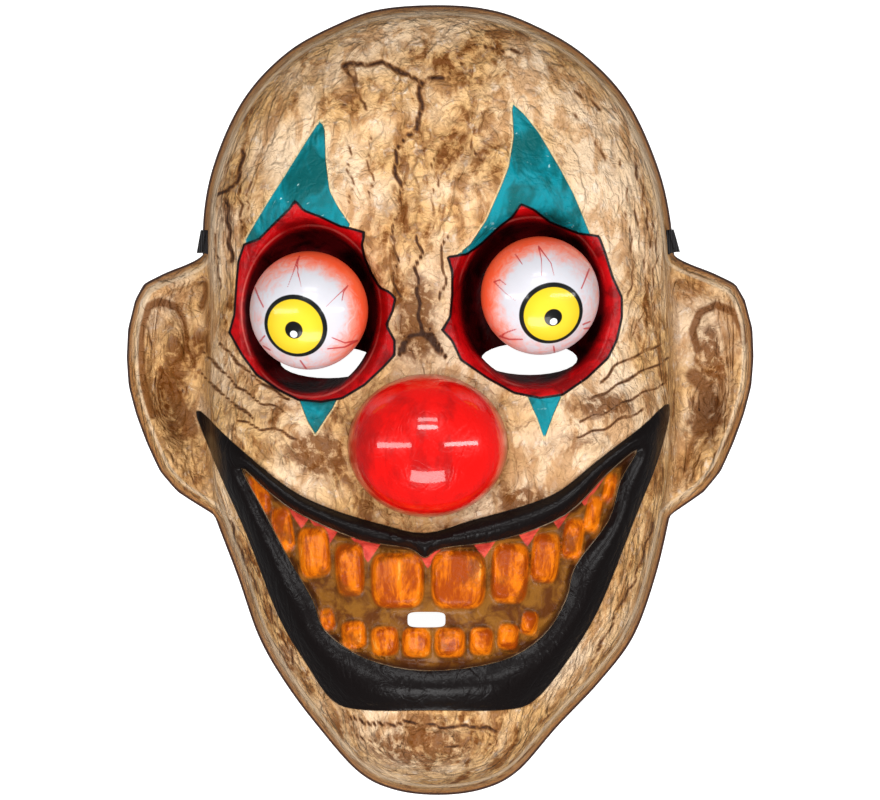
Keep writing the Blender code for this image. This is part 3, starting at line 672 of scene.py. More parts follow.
# Grooves cut by hand into the skin. Columns: half width, depth, then the points' x and y
CRACKS = [
    (1.0, 0.7, [(-33.2, 113.8), (-28.4, 113.5), (-23.9, 114.2), (-19.1, 113.8), (-15.7, 112.8),
                (-12.3, 110.4), (-9.2, 109.0), (-6.5, 108.0), (-2.7, 108.3), (1.4, 109.4)]),
    (0.55, 0.6, [(1.4, 109.4), (4.1, 111.4), (7.5, 113.8), (12.3, 116.2), (16.1, 119.6), (20.5, 118.6),
                 (27.3, 117.9), (30.8, 118.6)]),
    (1.1, 0.7, [(-6.5, 108.0), (-6.8, 104.6), (-6.5, 100.5), (-6.5, 96.4)]),
    (0.9, 0.7, [(-6.5, 96.4), (-8.2, 91.6), (-11.6, 88.5), (-14.4, 84.8), (-15.4, 79.3), (-13.7, 73.5)]),
    (0.6, 0.6, [(-13.7, 73.5), (-13.0, 66.6), (-15.0, 60.8), (-17.1, 54.7)]),
    (0.8, 0.6, [(-31.8, 112.8), (-29.4, 107.3), (-27.3, 103.2), (-25.6, 99.1)]),
    (0.5, 0.5, [(-28.4, 113.5), (-28.7, 108.0), (-26.0, 103.9)]),
    (1.0, 0.7, [(-75.5, 69.4), (-72.5, 70.4), (-69.0, 74.5), (-67.3, 78.6), (-67.0, 84.8)]),
    (0.9, 0.7, [(-72.5, 67.7), (-71.8, 61.5), (-71.4, 54.7), (-70.4, 47.2)]),
    (0.6, 0.6, [(-68.4, 69.7), (-67.0, 64.3), (-67.3, 57.4)]),
    (0.5, 0.5, [(-64.3, 74.5), (-65.3, 66.6), (-64.3, 58.8)]),
    (0.5, 0.5, [(-77.6, 63.2), (-76.6, 54.7), (-75.5, 47.2), (-74.5, 37.6)]),
    (0.6, 0.5, [(13.7, 96.4), (16.1, 97.4), (19.8, 96.4)]),
    (0.6, 0.6, [(10.3, 88.9), (11.6, 83.7), (14.4, 80.0)]),
    (0.5, 0.5, [(-1.0, 85.4), (-2.7, 79.3), (-0.7, 73.1), (-3.1, 66.6), (-1.4, 60.8)]),
    (0.5, 0.5, [(-30.1, 85.4), (-31.1, 77.9), (-29.1, 71.8), (-30.8, 66.6)]),
    (0.5, 0.5, [(-23.2, 88.9), (-24.6, 82.0), (-22.6, 75.2), (-23.9, 68.4)]),
    (0.5, 0.5, [(-47.8, 102.5), (-51.9, 99.1), (-54.7, 95.0), (-57.4, 90.6)]),
    (0.5, 0.5, [(34.2, 116.2), (40.3, 110.7), (45.1, 105.3), (51.3, 101.2), (56.1, 95.7)]),
    (0.5, 0.5, [(41.0, 101.2), (47.8, 94.3), (52.6, 86.8), (56.7, 80.0)]),
    (0.5, 0.5, [(58.8, 85.4), (62.2, 76.6), (64.3, 66.6), (68.4, 57.4)]),
    (0.5, 0.6, [(65.6, 82.0), (68.4, 71.8), (70.1, 61.5), (71.8, 51.3)]),
    (0.5, 0.5, [(62.2, 64.9), (64.9, 54.7), (65.6, 44.4), (63.6, 34.2)]),
    (0.5, 0.5, [(72.5, 60.8), (73.8, 50.6), (71.8, 40.3), (72.5, 30.8)]),
    (0.5, 0.5, [(68.4, 47.2), (70.4, 37.6), (68.4, 28.0), (64.3, 21.9)]),
    (1.0, 0.7, [(-7.5, 38.3), (-7.2, 32.5), (-6.8, 26.7), (-6.5, 22.6)]),
    (1.7, 0.7, [(-12.3, 16.4), (-11.6, 19.1), (-9.6, 21.5)]),
    (1.7, 0.7, [(-0.7, 16.4), (-2.1, 19.5), (-3.8, 21.5)]),
    (0.8, 0.7, [(-6.5, 22.6), (-9.6, 21.9), (-12.6, 18.5), (-14.0, 14.7)]),
    (0.8, 0.7, [(-6.5, 22.6), (-3.1, 21.9), (0.0, 18.5), (1.4, 15.0)]),
    (0.6, 0.6, [(-15.7, 55.4), (-14.4, 47.2), (-16.1, 39.3), (-12.3, 34.2)]),
    (0.6, 0.6, [(2.1, 55.4), (0.0, 48.5), (2.1, 41.7), (0.0, 34.2)]),
    (0.7, 0.7, [(-8.2, 56.1), (-6.2, 50.6), (-8.2, 44.4), (-7.2, 38.3)]),
    (0.7, 0.6, [(-74.5, 18.8), (-69.7, 14.4), (-64.3, 8.9), (-58.1, 4.1), (-51.3, 0.7)]),
    (0.6, 0.6, [(-80.3, 16.4), (-75.2, 10.9), (-68.4, 4.8), (-60.8, -0.7), (-53.3, -3.4)]),
    (0.6, 0.6, [(-81.3, 9.6), (-76.6, 4.1), (-70.4, -0.7), (-62.9, -6.2)]),
    (0.6, 0.6, [(-68.4, -6.8), (-60.8, -9.6), (-53.3, -10.3), (-47.8, -13.7)]),
    (0.6, 0.6, [(75.9, 19.8), (70.1, 16.4), (64.3, 14.4), (58.8, 10.9), (54.0, 6.2)]),
    (0.6, 0.6, [(77.9, 14.4), (71.8, 10.9), (64.9, 8.2), (58.8, 4.1), (51.3, 0.0)]),
    (0.6, 0.6, [(76.6, 6.2), (69.7, 2.7), (62.2, -0.7), (54.7, -4.8), (47.8, -6.8)]),
    (0.6, 0.6, [(68.4, -3.4), (60.8, -6.8), (53.3, -10.3), (45.8, -12.3)]),
    (0.6, 0.6, [(-58.8, -68.4), (-56.1, -75.9), (-51.3, -83.4), (-49.2, -89.5)]),
    (0.6, 0.6, [(-71.1, -41.0), (-68.4, -49.6), (-64.9, -58.8), (-60.8, -65.6)]),
    (0.6, 0.6, [(61.5, -68.4), (58.1, -75.9), (54.0, -83.4), (51.3, -89.5)]),
    (0.6, 0.6, [(72.5, -41.0), (69.7, -50.6), (66.3, -59.8), (62.2, -68.4)]),
    (0.8, 0.7, [(-30.1, -108.0), (-20.5, -110.0), (-10.3, -109.0), (0.0, -110.7), (10.3, -110.0),
                (19.1, -112.1)]),
    (0.6, 0.6, [(-26.7, -114.2), (-15.4, -116.9), (-3.4, -115.5), (7.5, -117.6), (17.1, -116.9)]),
]

# Folds of the ears. Columns: half width, strength of the brown in them, depth, then the points' x and y
EAR_FOLDS = [
    (1.9, 1.0, 0.6, [(-90.6, 32.1), (-95.7, 33.5), (-99.5, 31.8), (-101.5, 25.6), (-102.2, 18.8),
                     (-101.5, 8.5), (-99.8, 0.7), (-98.1, -5.1)]),
    (1.7, 0.8, 0.6, [(-90.6, 32.1), (-87.5, 28.0), (-86.1, 21.5), (-87.5, 15.0), (-91.3, 10.3),
                     (-94.0, 6.8)]),
    (3.6, 1.0, 0.6, [(-93.0, 7.5), (-90.9, 1.7), (-88.2, -4.1), (-84.8, -10.3)]),
    (1.3, 1.3, 0.6, [(-90.9, 4.1), (-89.5, 0.7), (-89.9, -2.7)]),
    (1.5, 0.6, 0.5, [(-97.1, -10.3), (-93.6, -16.4), (-89.5, -21.9)]),
    (2.0, 0.8, 0.5, [(-80.0, 39.6), (-80.0, 35.5), (-81.3, 31.4)]),
    (1.7, 1.0, 0.6, [(87.8, 17.1), (86.1, 23.9), (88.5, 29.7), (94.3, 32.5), (99.8, 30.1), (102.9, 23.9),
                     (103.6, 19.8)]),
    (1.2, 0.6, 0.5, [(90.6, 23.9), (94.3, 26.7), (96.4, 21.9), (94.3, 17.8), (90.9, 19.8)]),
    (3.6, 1.0, 0.6, [(86.5, 8.2), (90.9, 4.1), (90.2, -2.7), (88.2, -10.3)]),
    (1.3, 1.3, 0.6, [(90.2, 1.4), (93.3, 0.7), (95.0, -1.4)]),
    (1.5, 0.8, 0.6, [(102.9, -1.7), (100.5, -9.6), (96.4, -15.7), (93.6, -19.1)]),
    (1.8, 0.7, 0.5, [(86.8, -12.3), (84.8, -17.8), (83.4, -23.9)]),
    (1.4, 0.5, 0.4, [(77.9, 47.2), (80.7, 40.3), (83.4, 34.2)]),
]

# Brown washes laid over the skin, and a painted shadow under the nose in the row at y -44. Columns: x, y,
# half width, half height, strength
GRIME_AND_SHADE = [
    (-42.0, -17.0, 13.0, 7.0, 0.9),
    (-30.0, -10.0, 10.0, 6.0, 0.5),
    (-58.0, -4.0, 12.0, 7.0, 0.45),
    (28.0, -34.0, 12.0, 6.0, 0.9),
    (47.0, -14.0, 16.0, 7.0, 0.5),
    (-8.0, 22.0, 10.0, 12.0, 0.8),
    (-7.0, 45.0, 12.0, 14.0, 0.35),
    (-6.0, -117.0, 26.0, 10.0, 0.8),
    (-30.0, -112.0, 12.0, 7.0, 0.5),
    (-72.0, 66.0, 6.0, 16.0, 0.6),
    (10.0, 118.0, 30.0, 8.0, 0.4),
    (-38.0, 110.0, 16.0, 8.0, 0.3),
    (66.0, 40.0, 9.0, 26.0, 0.35),
    (-71.0, 5.0, 8.0, 24.0, 0.35),
    (-90.0, 12.0, 6.0, 16.0, 0.8),
    (-88.0, -8.0, 7.0, 8.0, 0.9),
    (92.0, 14.0, 6.0, 16.0, 0.8),
    (91.0, -6.0, 7.0, 9.0, 0.95),
    (-52.0, -88.0, 10.0, 10.0, 0.5),
    (-64.0, -66.0, 8.0, 14.0, 0.35),
    (-12.0, 60.0, 14.0, 16.0, 0.50),
    (-8.0, 33.0, 9.0, 12.0, 0.80),
    (10.0, 84.0, 14.0, 18.0, 0.30),
    (56.0, -2.0, 16.0, 7.0, 0.70),
    # Painted shadow of the nose, in the crease above the lip
    (-6.0, -44.0, 40.0, 3.5, 0.50),
    (-41.0, -18.0, 10.0, 9.0, 1.00),
]

# Points of the gums between the upper teeth. Columns: x, y of the lower tip
GUMS = [
    (-46.8, -44.0),
    (-37.9, -49.8),
    (-24.3, -55.3),
    (-4.1, -57.3),
    (14.7, -54.0),
    (29.4, -50.0),
    (40.0, -44.0),
    (49.0, -36.5),
]
GUM_HALF_WIDTH = 4.2
GUM_DROP = 7.5

# How far round each point the surface is looked at to tell whether it lies in a hollow, in metres
HOLLOW_REACH = 2.2 * MM

def off_lines(lines, x, y):
    """Distance from each point to the nearest of several open lines of points."""
    nearest = np.full(x.shape, np.inf)
    for line in lines:
        for start, end in zip(line, line[1:]):
            nearest = np.minimum(nearest, off_span(start, end, x, y))
    return nearest


def near_line(points, reach, mm_x, mm_y):
    """Which points lie within reach of a line's box, and how far each of them is from the line."""
    xs, ys = zip(*points)
    close = (mm_x > min(xs) - reach) & (mm_x < max(xs) + reach)
    close &= (mm_y > min(ys) - reach) & (mm_y < max(ys) + reach)
    return close, off_lines([points], mm_x[close], mm_y[close])


def crack_depth(x, y):
    """How deep the hand-cut grooves are, in metres."""
    mm_x, mm_y = x / MM, y / MM
    mm_x, mm_y = mm_x + 0.5 * np.sin(0.75 * mm_y + np.sin(0.3 * mm_x)), mm_y + 0.5 * np.sin(0.7 * mm_x)
    deepest = np.zeros(x.shape)
    for half_width, depth, points in CRACKS:
        close, near = near_line(points, 4 * half_width, mm_x, mm_y)
        cut = depth * np.exp(-((near / half_width) ** 2))
        deepest[close] = np.maximum(deepest[close], cut)
    return deepest * MM


def fold_marks(x, y):
    """How brown and how deep, in metres, the folds of the ears are."""
    brown, deepest = np.zeros(x.shape), np.zeros(x.shape)
    for half_width, strength, depth, points in EAR_FOLDS:
        close, near = near_line(points, 3 * half_width, x / MM, y / MM)
        fade = np.exp(-((near / half_width) ** 2))
        brown[close] = np.maximum(brown[close], strength * fade)
        deepest[close] = np.maximum(deepest[close], depth * fade)
    return brown, deepest * MM


def front_height(x, y):
    return outer_height(x, y) - crack_depth(x, y) - fold_marks(x, y)[1]


def fine_rings(height, inset, counts):
    """Points of one face of the sheet, ring by ring from the trim edge to the nose."""
    centre = np.array(on_face(NOSE_PLACE))
    out_x, out_y = (even_points(TRIM_EDGE, SHELL_SPOKES) - centre).T
    angle, trim = np.arctan2(out_y, out_x), np.hypot(out_x, out_y) - inset
    radii = ring_radii(angle, trim, inset, counts)
    x, y = centre[0] + radii * np.cos(angle), centre[1] + radii * np.sin(angle)
    z = np.maximum(height(x, y), 0)
    z[0] = 0
    tip = height(centre[:1], centre[1:])
    return np.vstack([np.stack([x, y, z], -1).reshape(-1, 3), [(*centre, tip[0])]]), len(radii)


def ring_faces(start, rings, spokes, flip=False):
    """Faces between the rings of points that start at that number, and round the tip that follows them."""
    faces = []
    for ring in range(rings - 1):
        row = start + ring * spokes
        for spoke in range(spokes):
            beside = (spoke + 1) % spokes
            face = (row + spoke, row + spoke + spokes, row + beside + spokes, row + beside)
            faces.append(face[::-1] if flip else face)
    last, tip = start + (rings - 1) * spokes, start + rings * spokes
    for spoke in range(spokes):
        face = (last + spoke, tip, last + (spoke + 1) % spokes)
        faces.append(face[::-1] if flip else face)
    return faces


def visual_shell():
    """The formed sheet at full detail, with its slots cut, its front painted and its back bare."""
    outer, outer_rings = fine_rings(front_height, 0, FRONT_RINGS)
    inner, inner_rings = fine_rings(inner_height, SHEET, BACK_RINGS)
    start = len(outer)
    faces = ring_faces(0, outer_rings, SHELL_SPOKES)
    front_count = len(faces)
    faces += ring_faces(start, inner_rings, SHELL_SPOKES, True)
    for spoke in range(SHELL_SPOKES):
        beside = (spoke + 1) % SHELL_SPOKES
        faces.append((spoke, beside, start + beside, start + spoke))
    mesh = bpy.data.meshes.new("mask_shell_fine")
    mesh.from_pydata(np.vstack([outer, inner]).tolist(), [], faces)
    mesh.materials.append(painted_skin())
    mesh.materials.append(bare_plastic())
    back = (np.arange(len(faces)) >= front_count).astype(np.int32)
    mesh.polygons.foreach_set("material_index", back)
    shell = placed("mask_shell_fine", mesh)
    cutters = slot_cutters()
    for cutter in cutters:
        cut = shell.modifiers.new(cutter.name, "BOOLEAN")
        cut.object = cutter
        cut.operation = "DIFFERENCE"
    graph = bpy.context.evaluated_depsgraph_get()
    made = bpy.data.meshes.new_from_object(shell.evaluated_get(graph))
    shell.modifiers.clear()
    shell.data = made
    for cutter in cutters:
        bpy.data.objects.remove(cutter)
    shade(made, SHELL_SHARP)
    store_paint(made)
    return shell


def store(mesh, name, values):
    layer = mesh.attributes.new(name, "FLOAT", "POINT")
    layer.data.foreach_set("value", np.asarray(values, dtype=np.float32))


def store_paint(mesh):
    """Where each paint lies, as distances in millimetres inside its edge, and how hollow the surface is."""
    points = np.empty(len(mesh.vertices) * 3)
    mesh.vertices.foreach_get("co", points)
    x, y = points.reshape(-1, 3)[:, :2].T
    store(mesh, "socket", inside_any(SOCKET_PAINT.values(), x, y) / MM)
    store(mesh, "teal", inside_any(TEAL_PAINT, x, y) / MM)
    outer = inside_distance(LIP_OUTER_EDGE, x, y)
    inner = inside_distance(LIP_INNER_EDGE, x, y)
    store(mesh, "lip", np.minimum(outer, -inner) / MM)
    store(mesh, "mouth", inner / MM)
    store(mesh, "tooth", np.clip(inside_teeth(x, y) / MM, -4, 4))
    gum = np.zeros(x.shape)
    for middle_x, middle_y in GUMS:
        side = 1 - np.abs(x / MM - middle_x) / GUM_HALF_WIDTH
        gum = np.maximum(gum, side + 1.2 * (y / MM - middle_y) / GUM_DROP)
    store(mesh, "gum", gum)
    store(mesh, "nose", (1 - off_nose(x, y)) * NOSE_HEIGHT / 2 / MM)
    store(mesh, "trim", inside_distance(even_points(TRIM_EDGE, TRIM_POINTS), x, y) / MM)
    left, right = face_sides(y)
    store(mesh, "ear", np.maximum(x - right, left - x) / MM)
    # Brown washes and the painted shadow under the nose, as one strength
    grime_and_shade = np.zeros(x.shape)
    for middle_x, middle_y, half_x, half_y, strength in GRIME_AND_SHADE:
        far = ((x / MM - middle_x) / half_x) ** 2 + ((y / MM - middle_y) / half_y) ** 2
        grime_and_shade = np.maximum(grime_and_shade, strength * np.exp(-far))
    store(mesh, "grime_and_shade", grime_and_shade)
    store(mesh, "crack", crack_depth(x, y) / MM)
    store(mesh, "fold", fold_marks(x, y)[0])
    recess = np.zeros(x.shape)
    for _, share in in_sockets(x, y):
        recess = np.maximum(recess, share)
    store(mesh, "recess", recess)
    around = np.zeros(x.shape)
    for angle in np.linspace(0, 2 * math.pi, 8, endpoint=False):
        step_x, step_y = HOLLOW_REACH * math.cos(angle), HOLLOW_REACH * math.sin(angle)
        around += outer_height(x + step_x, y + step_y) / 8
    store(mesh, "hollow", np.clip((around - outer_height(x, y)) / MM, -3, 3))


# Colours of the paints and of the bare materials. Columns: red, green, blue
COLOURS = {
    "bone": (0.77, 0.565, 0.370),
    "ochre": (0.66, 0.390, 0.160),
    # Painted highlight flecks on the skin
    "cream_highlight": (0.90, 0.780, 0.640),
    "tan": (0.45, 0.200, 0.050),
    "wash": (0.150, 0.047, 0.007),
    "ink": (0.030, 0.010, 0.005),
    "speck": (0.035, 0.012, 0.006),
    # A painted highlight along the rolled rim, then the trim's tan and dark lines
    "rim_highlight": (0.80, 0.60, 0.40),
    "tan_rim": (0.44, 0.185, 0.055),
    "dark_rim": (0.060, 0.018, 0.009),
    "teal": (0.001, 0.215, 0.265),
    "deep_teal": (0.001, 0.095, 0.100),
    "teal_glint": (0.42, 0.66, 0.66),
    "teal_edge": (0.66, 0.52, 0.28),
    "crimson": (0.46, 0.002, 0.004),
    "deep_crimson": (0.20, 0.001, 0.002),
    # Painted shade in the sockets' recess, and a painted highlight along its crest
    "recess": (0.060, 0.001, 0.002),
    "deep_recess_shade": (0.012, 0.0005, 0.001),
    "recess_crest_highlight": (0.70, 0.16, 0.13),
    "socket_line": (0.004, 0.002, 0.003),
    "cavity": (0.20, 0.078, 0.010),
    "deep_cavity": (0.085, 0.024, 0.004),
    "cavity_edge": (0.022, 0.007, 0.003),
    "gum": (0.60, 0.070, 0.045),
    "deep_gum": (0.36, 0.028, 0.020),
    "tooth_line": (0.21, 0.078, 0.010),
    "deep_tooth_line": (0.085, 0.026, 0.004),
    "enamel": (0.64, 0.150, 0.002),
    "deep_enamel": (0.28, 0.042, 0.001),
    "dull_enamel": (0.17, 0.040, 0.004),
    "pale_enamel": (0.78, 0.36, 0.06),
    "lip": (0.0045, 0.0030, 0.0030),
    "scarlet": (0.70, 0.002, 0.001),
    "deep_scarlet": (0.30, 0.001, 0.001),
    "scarlet_edge": (0.20, 0.004, 0.002),
    "bare_plastic": (0.70, 0.66, 0.60),
    "eye_white": (0.60, 0.60, 0.64),
    "deep_eye_white": (0.50, 0.49, 0.53),
    "blush": (0.80, 0.20, 0.11),
    "deep_blush": (0.84, 0.075, 0.012),
    "vein": (0.42, 0.010, 0.016),
    "iris_ring": (0.006, 0.007, 0.007),
    "iris": (0.72, 0.53, 0.030),
    "iris_edge": (0.66, 0.46, 0.016),
    "pupil": (0.005, 0.005, 0.005),
    "spark": (0.88, 0.90, 0.92),
    "elastic": (0.012, 0.012, 0.013),
    "elastic_rib": (0.035, 0.034, 0.036),
    "table": (0.5, 0.5, 0.5),
    "white": (1.0, 1.0, 1.0),
}


class Paint:
    """A short way of writing a material's nodes."""

    def __init__(self, name):
        self.material = bpy.data.materials.new(name)
        self.material.use_nodes = True
        self.nodes = self.material.node_tree.nodes
        self.links = self.material.node_tree.links
        self.shader = self.nodes["Principled BSDF"]
        self.place = self.nodes.new("ShaderNodeTexCoord").outputs["Object"]

    def put(self, socket, value):
        if isinstance(value, bpy.types.NodeSocket):
            self.links.new(value, socket)
        elif isinstance(value, str):
            socket.default_value = (*COLOURS[value], 1)
        else:
            socket.default_value = value

    def add(self, kind, inputs=(), out=0, **settings):
        made = self.nodes.new(kind)
        for name, value in settings.items():
            setattr(made, name, value)
        for name, value in dict(inputs).items():
            self.put(made.inputs[name], value)
        return made.outputs[out]

    def kept(self, name):
        return self.add("ShaderNodeAttribute", out="Fac", attribute_name=name)

    def maths(self, operation, a, b=0.0, c=0.0, clamp=False):
        return self.add("ShaderNodeMath", {0: a, 1: b, 2: c}, operation=operation, use_clamp=clamp)

    def step(self, value, low, high, start=0.0, end=1.0):
        inputs = {"Value": value, "From Min": low, "From Max": high, "To Min": start, "To Max": end}
        return self.add("ShaderNodeMapRange", inputs, interpolation_type="SMOOTHSTEP")

    def times(self, a, b):
        return self.maths("MULTIPLY", a, b)

    def most(self, a, b):
        return self.maths("MAXIMUM", a, b)

    def mix(self, share, a, b, blend="MIX"):
        made = self.nodes.new("ShaderNodeMix")
        made.data_type = "RGBA"
        made.blend_type = blend
        for index, value in ((0, share), (6, a), (7, b)):
            self.put(made.inputs[index], value)
        return made.outputs[2]

    def stretched(self, scale, turn=0.0, place=None):
        inputs = {"Vector": place or self.place, "Scale": scale, "Rotation": (0, 0, math.radians(turn))}
        return self.add("ShaderNodeMapping", inputs)

    def noise(self, scale, detail=3.0, rough=0.55, place=None, twist=0.0):
        inputs = {"Vector": place or self.place, "Scale": scale, "Detail": detail}
        inputs |= {"Roughness": rough, "Distortion": twist}
        return self.add("ShaderNodeTexNoise", inputs)

    def shaken(self, scale, reach, place=None):
        """The place moved about by a noise, up to reach in metres."""
        inputs = {"Vector": place or self.place, "Scale": scale, "Detail": 3.0}
        shift = self.add("ShaderNodeTexNoise", inputs, out="Color")
        centred = self.add("ShaderNodeVectorMath", {0: shift, 1: (0.5, 0.5, 0.5)}, operation="SUBTRACT")
        scaled = self.add("ShaderNodeVectorMath", {0: centred, "Scale": 2 * reach}, operation="SCALE")
        return self.add("ShaderNodeVectorMath", {0: place or self.place, 1: scaled}, operation="ADD")

    def ridges(self, value, sharp):
        """1 along the middle level of a noise, falling to 0 beside it."""
        away = self.maths("ABSOLUTE", self.maths("SUBTRACT", value, 0.5))
        return self.step(away, sharp, 0.0)

    def finish(self, colour, rough, coat=0.0, bump=None, depth=0.001):
        self.put(self.shader.inputs["Base Color"], colour)
        self.put(self.shader.inputs["Roughness"], rough)
        self.put(self.shader.inputs["Coat Weight"], coat)
        self.put(self.shader.inputs["Coat Roughness"], 0.08)
        self.put(self.shader.inputs["Specular IOR Level"], 0.13)
        if bump is not None:
            inputs = {"Strength": 1.0, "Distance": depth, "Height": bump}
            self.put(self.shader.inputs["Normal"], self.add("ShaderNodeBump", inputs))
        return self.material


def painted_skin():
    """Bone-coloured skin with brown in its crevices, and the teal, red and black paint over it."""
    p = Paint("painted_skin")
    socket, teal, lip, mouth = (p.kept(name) for name in ("socket", "teal", "lip", "mouth"))
    tooth, gum, nose, trim = (p.kept(name) for name in ("tooth", "gum", "nose", "trim"))
    fold, grime_and_shade, crack, hollow = (p.kept(name) for name in ("fold", "grime_and_shade", "crack", "hollow"))
    recess = p.kept("recess")
    glossy = p.step(nose, -0.5, 0.0)
    on_mouth = p.step(mouth, -0.1, 0.4)
    on_socket = p.step(socket, -0.2, 0.2)
    on_lip = p.step(lip, -0.2, 0.2)

    # Relief: soft lumps, worm-like folds that mostly run up and down, and fine grain
    down = p.stretched((1, 0.5, 1))
    bent = p.shaken(60, 0.006, down)
    worms = p.ridges(p.noise(95, 2, 0.5, bent, 0.5), 0.085)
    small = p.ridges(p.noise(190, 2, 0.5, p.shaken(90, 0.003), 0.6), 0.10)
    bark = p.ridges(p.noise(105, 3, 0.55, p.shaken(60, 0.003, p.stretched((1, 0.16, 1))), 0.4), 0.09)
    rim_side = p.step(trim, 24.0, 10.0)
    grain = p.noise(300, 4, 0.65, twist=0.3)
    lumps = p.noise(120, 4, 0.62, down, 0.5)
    areas = p.noise(26, 3, 0.6)

    # The brown wash: in the crevices, in hollow places and in hand-rubbed patches, with a painted shadow
    # under the nose among the patches
    much = p.step(p.maths("ADD", areas, p.times(grime_and_shade, 0.30)), 0.40, 0.66, 0.15, 1.0)
    spots = p.step(p.maths("ADD", lumps, p.times(grain, 0.35)), 0.60, 0.80)
    wash = p.times(p.most(p.times(worms, 0.75), spots), much)
    wash = p.most(wash, p.times(p.times(small, 0.5), much))
    wash = p.most(wash, p.times(p.times(bark, rim_side), 0.55))
    # Rubbed patches, which include the painted shadow under the nose
    rubbed_and_shade = p.maths("ADD", p.times(grime_and_shade, 1.0), p.times(grain, 0.6))
    wash = p.most(wash, p.times(p.step(rubbed_and_shade, 0.52, 0.98), 0.92))
    wash = p.most(wash, p.times(p.step(hollow, 0.20, 0.95), 0.5))
    wash = p.times(wash, p.step(grain, 0.34, 0.52, 0.35, 1.0))
    wash = p.most(wash, p.step(p.maths("ADD", fold, p.times(grain, 0.35)), 0.40, 0.95, 0.0, 0.92))
    wash = p.most(wash, p.step(crack, 0.08, 0.45, 0.0, 0.9))

    skin = p.mix(p.step(areas, 0.36, 0.60), "bone", "ochre")
    # Pale cream flecks on the fine grain: painted highlights
    skin = p.mix(p.step(grain, 0.54, 0.70, 0.0, 0.55), skin, "cream_highlight")
    skin = p.mix(p.step(lumps, 0.47, 0.60, 0.0, 0.60), skin, "tan")
    skin = p.mix(wash, skin, "wash")
    ink = p.maths("ADD", crack, p.times(fold, 0.22))
    skin = p.mix(p.step(ink, 0.34, 0.62, 0.0, 0.9), skin, "ink")
    black_specks = p.times(p.step(p.noise(380, 2), 0.70, 0.76), p.step(grime_and_shade, 0.2, 0.7))
    skin = p.mix(black_specks, skin, "speck")
    # A pale band along the rolled rim, 3.6 mm inside the trim: a painted highlight
    rim_highlight_band = p.step(p.maths("ABSOLUTE", p.maths("SUBTRACT", trim, 3.6)), 0.9, 0.2, 0.0, 0.55)
    skin = p.mix(rim_highlight_band, skin, "rim_highlight")
    skin = p.mix(p.step(trim, 2.6, 1.4, 0.0, 0.85), skin, "tan_rim")
    skin = p.mix(p.step(trim, 1.15, 0.55), skin, "dark_rim")

    # Teal with a pale rim and soft mottling
    blotch = p.step(p.noise(95, 3, 0.6, down, 0.6), 0.40, 0.62)
    blue = p.mix(blotch, "teal", "deep_teal")
    glint = p.times(p.step(p.noise(260, 2, 0.5, twist=1.0), 0.66, 0.74), p.step(p.noise(40), 0.5, 0.6))
    blue = p.mix(glint, blue, "teal_glint")
    edged = p.mix(p.step(teal, -0.8, -0.25, 0.0, 0.8), skin, "teal_edge")
    face = p.mix(p.step(teal, -0.15, 0.2), edged, blue)

    # Sockets: a crimson band round a recess painted dark as shade, with a painted highlight along the crest
    # between them, inside a black line
    mottle = p.step(p.noise(90, 4, 0.6, twist=0.5), 0.40, 0.62)
    band = p.mix(mottle, "crimson", "deep_crimson")
    # The recess round the eyeball is painted dark maroon as shade
    recess_shade = p.mix(mottle, "recess", "deep_recess_shade")
    red = p.mix(p.step(recess, 0.10, 0.17), band, recess_shade)
    # A pale red line along the recess's crest: a painted highlight
    crest_highlight = p.step(p.maths("ABSOLUTE", p.maths("SUBTRACT", recess, 0.105)), 0.016, 0.004, 0.0, 0.4)
    red = p.mix(p.times(crest_highlight, p.step(areas, 0.40, 0.55)), red, "recess_crest_highlight")
    red = p.mix(p.step(socket, 1.05, 0.60), red, "socket_line")
    face = p.mix(on_socket, face, red)

    # Mouth: brown between the teeth, pink gum points, and orange teeth with tan outlines
    stain = p.step(p.noise(150, 4, 0.6, twist=0.5), 0.38, 0.62)
    cavity = p.mix(stain, "cavity", "deep_cavity")
    cavity = p.mix(p.step(mouth, 2.6, 0.4, 0.0, 0.9), cavity, "cavity_edge")
    gums = p.mix(stain, "gum", "deep_gum")
    outline = p.mix(stain, "tooth_line", "deep_tooth_line")
    streaks = p.noise(170, 4, 0.7, p.stretched((1, 0.3, 1)), 0.4)
    enamel = p.mix(p.step(streaks, 0.40, 0.60), "enamel", "deep_enamel")
    dull = p.step(p.noise(70, 4, 0.65), 0.52, 0.66, 0.0, 0.75)
    enamel = p.mix(dull, enamel, "dull_enamel")
    enamel = p.mix(p.step(streaks, 0.40, 0.30, 0.0, 0.6), enamel, "pale_enamel")
    cavity = p.mix(p.step(tooth, -0.55, -0.2), cavity, outline)
    cavity = p.mix(p.times(p.step(gum, 1.0, 1.12), p.step(tooth, 0.7, 0.0)), cavity, gums)
    cavity = p.mix(p.step(tooth, 0.15, 1.25), cavity, enamel)
    face = p.mix(on_mouth, face, cavity)

    # Lips and nose
    face = p.mix(on_lip, face, "lip")
    run = p.stretched((1, 0.6, 1))
    patches = p.step(p.noise(48, 4, 0.6, run, 0.5), 0.46, 0.68, 0.0, 0.8)
    scarlet = p.mix(patches, "scarlet", "deep_scarlet")
    scarlet = p.mix(p.step(nose, 1.4, 0.0, 0.0, 0.55), scarlet, "scarlet_edge")
    face = p.mix(glossy, face, scarlet)

    smooth = p.most(glossy, p.most(on_mouth, p.most(on_socket, on_lip)))
    rough = p.step(smooth, 0.0, 1.0, 0.46, 0.34)
    coat = p.times(glossy, 0.6)

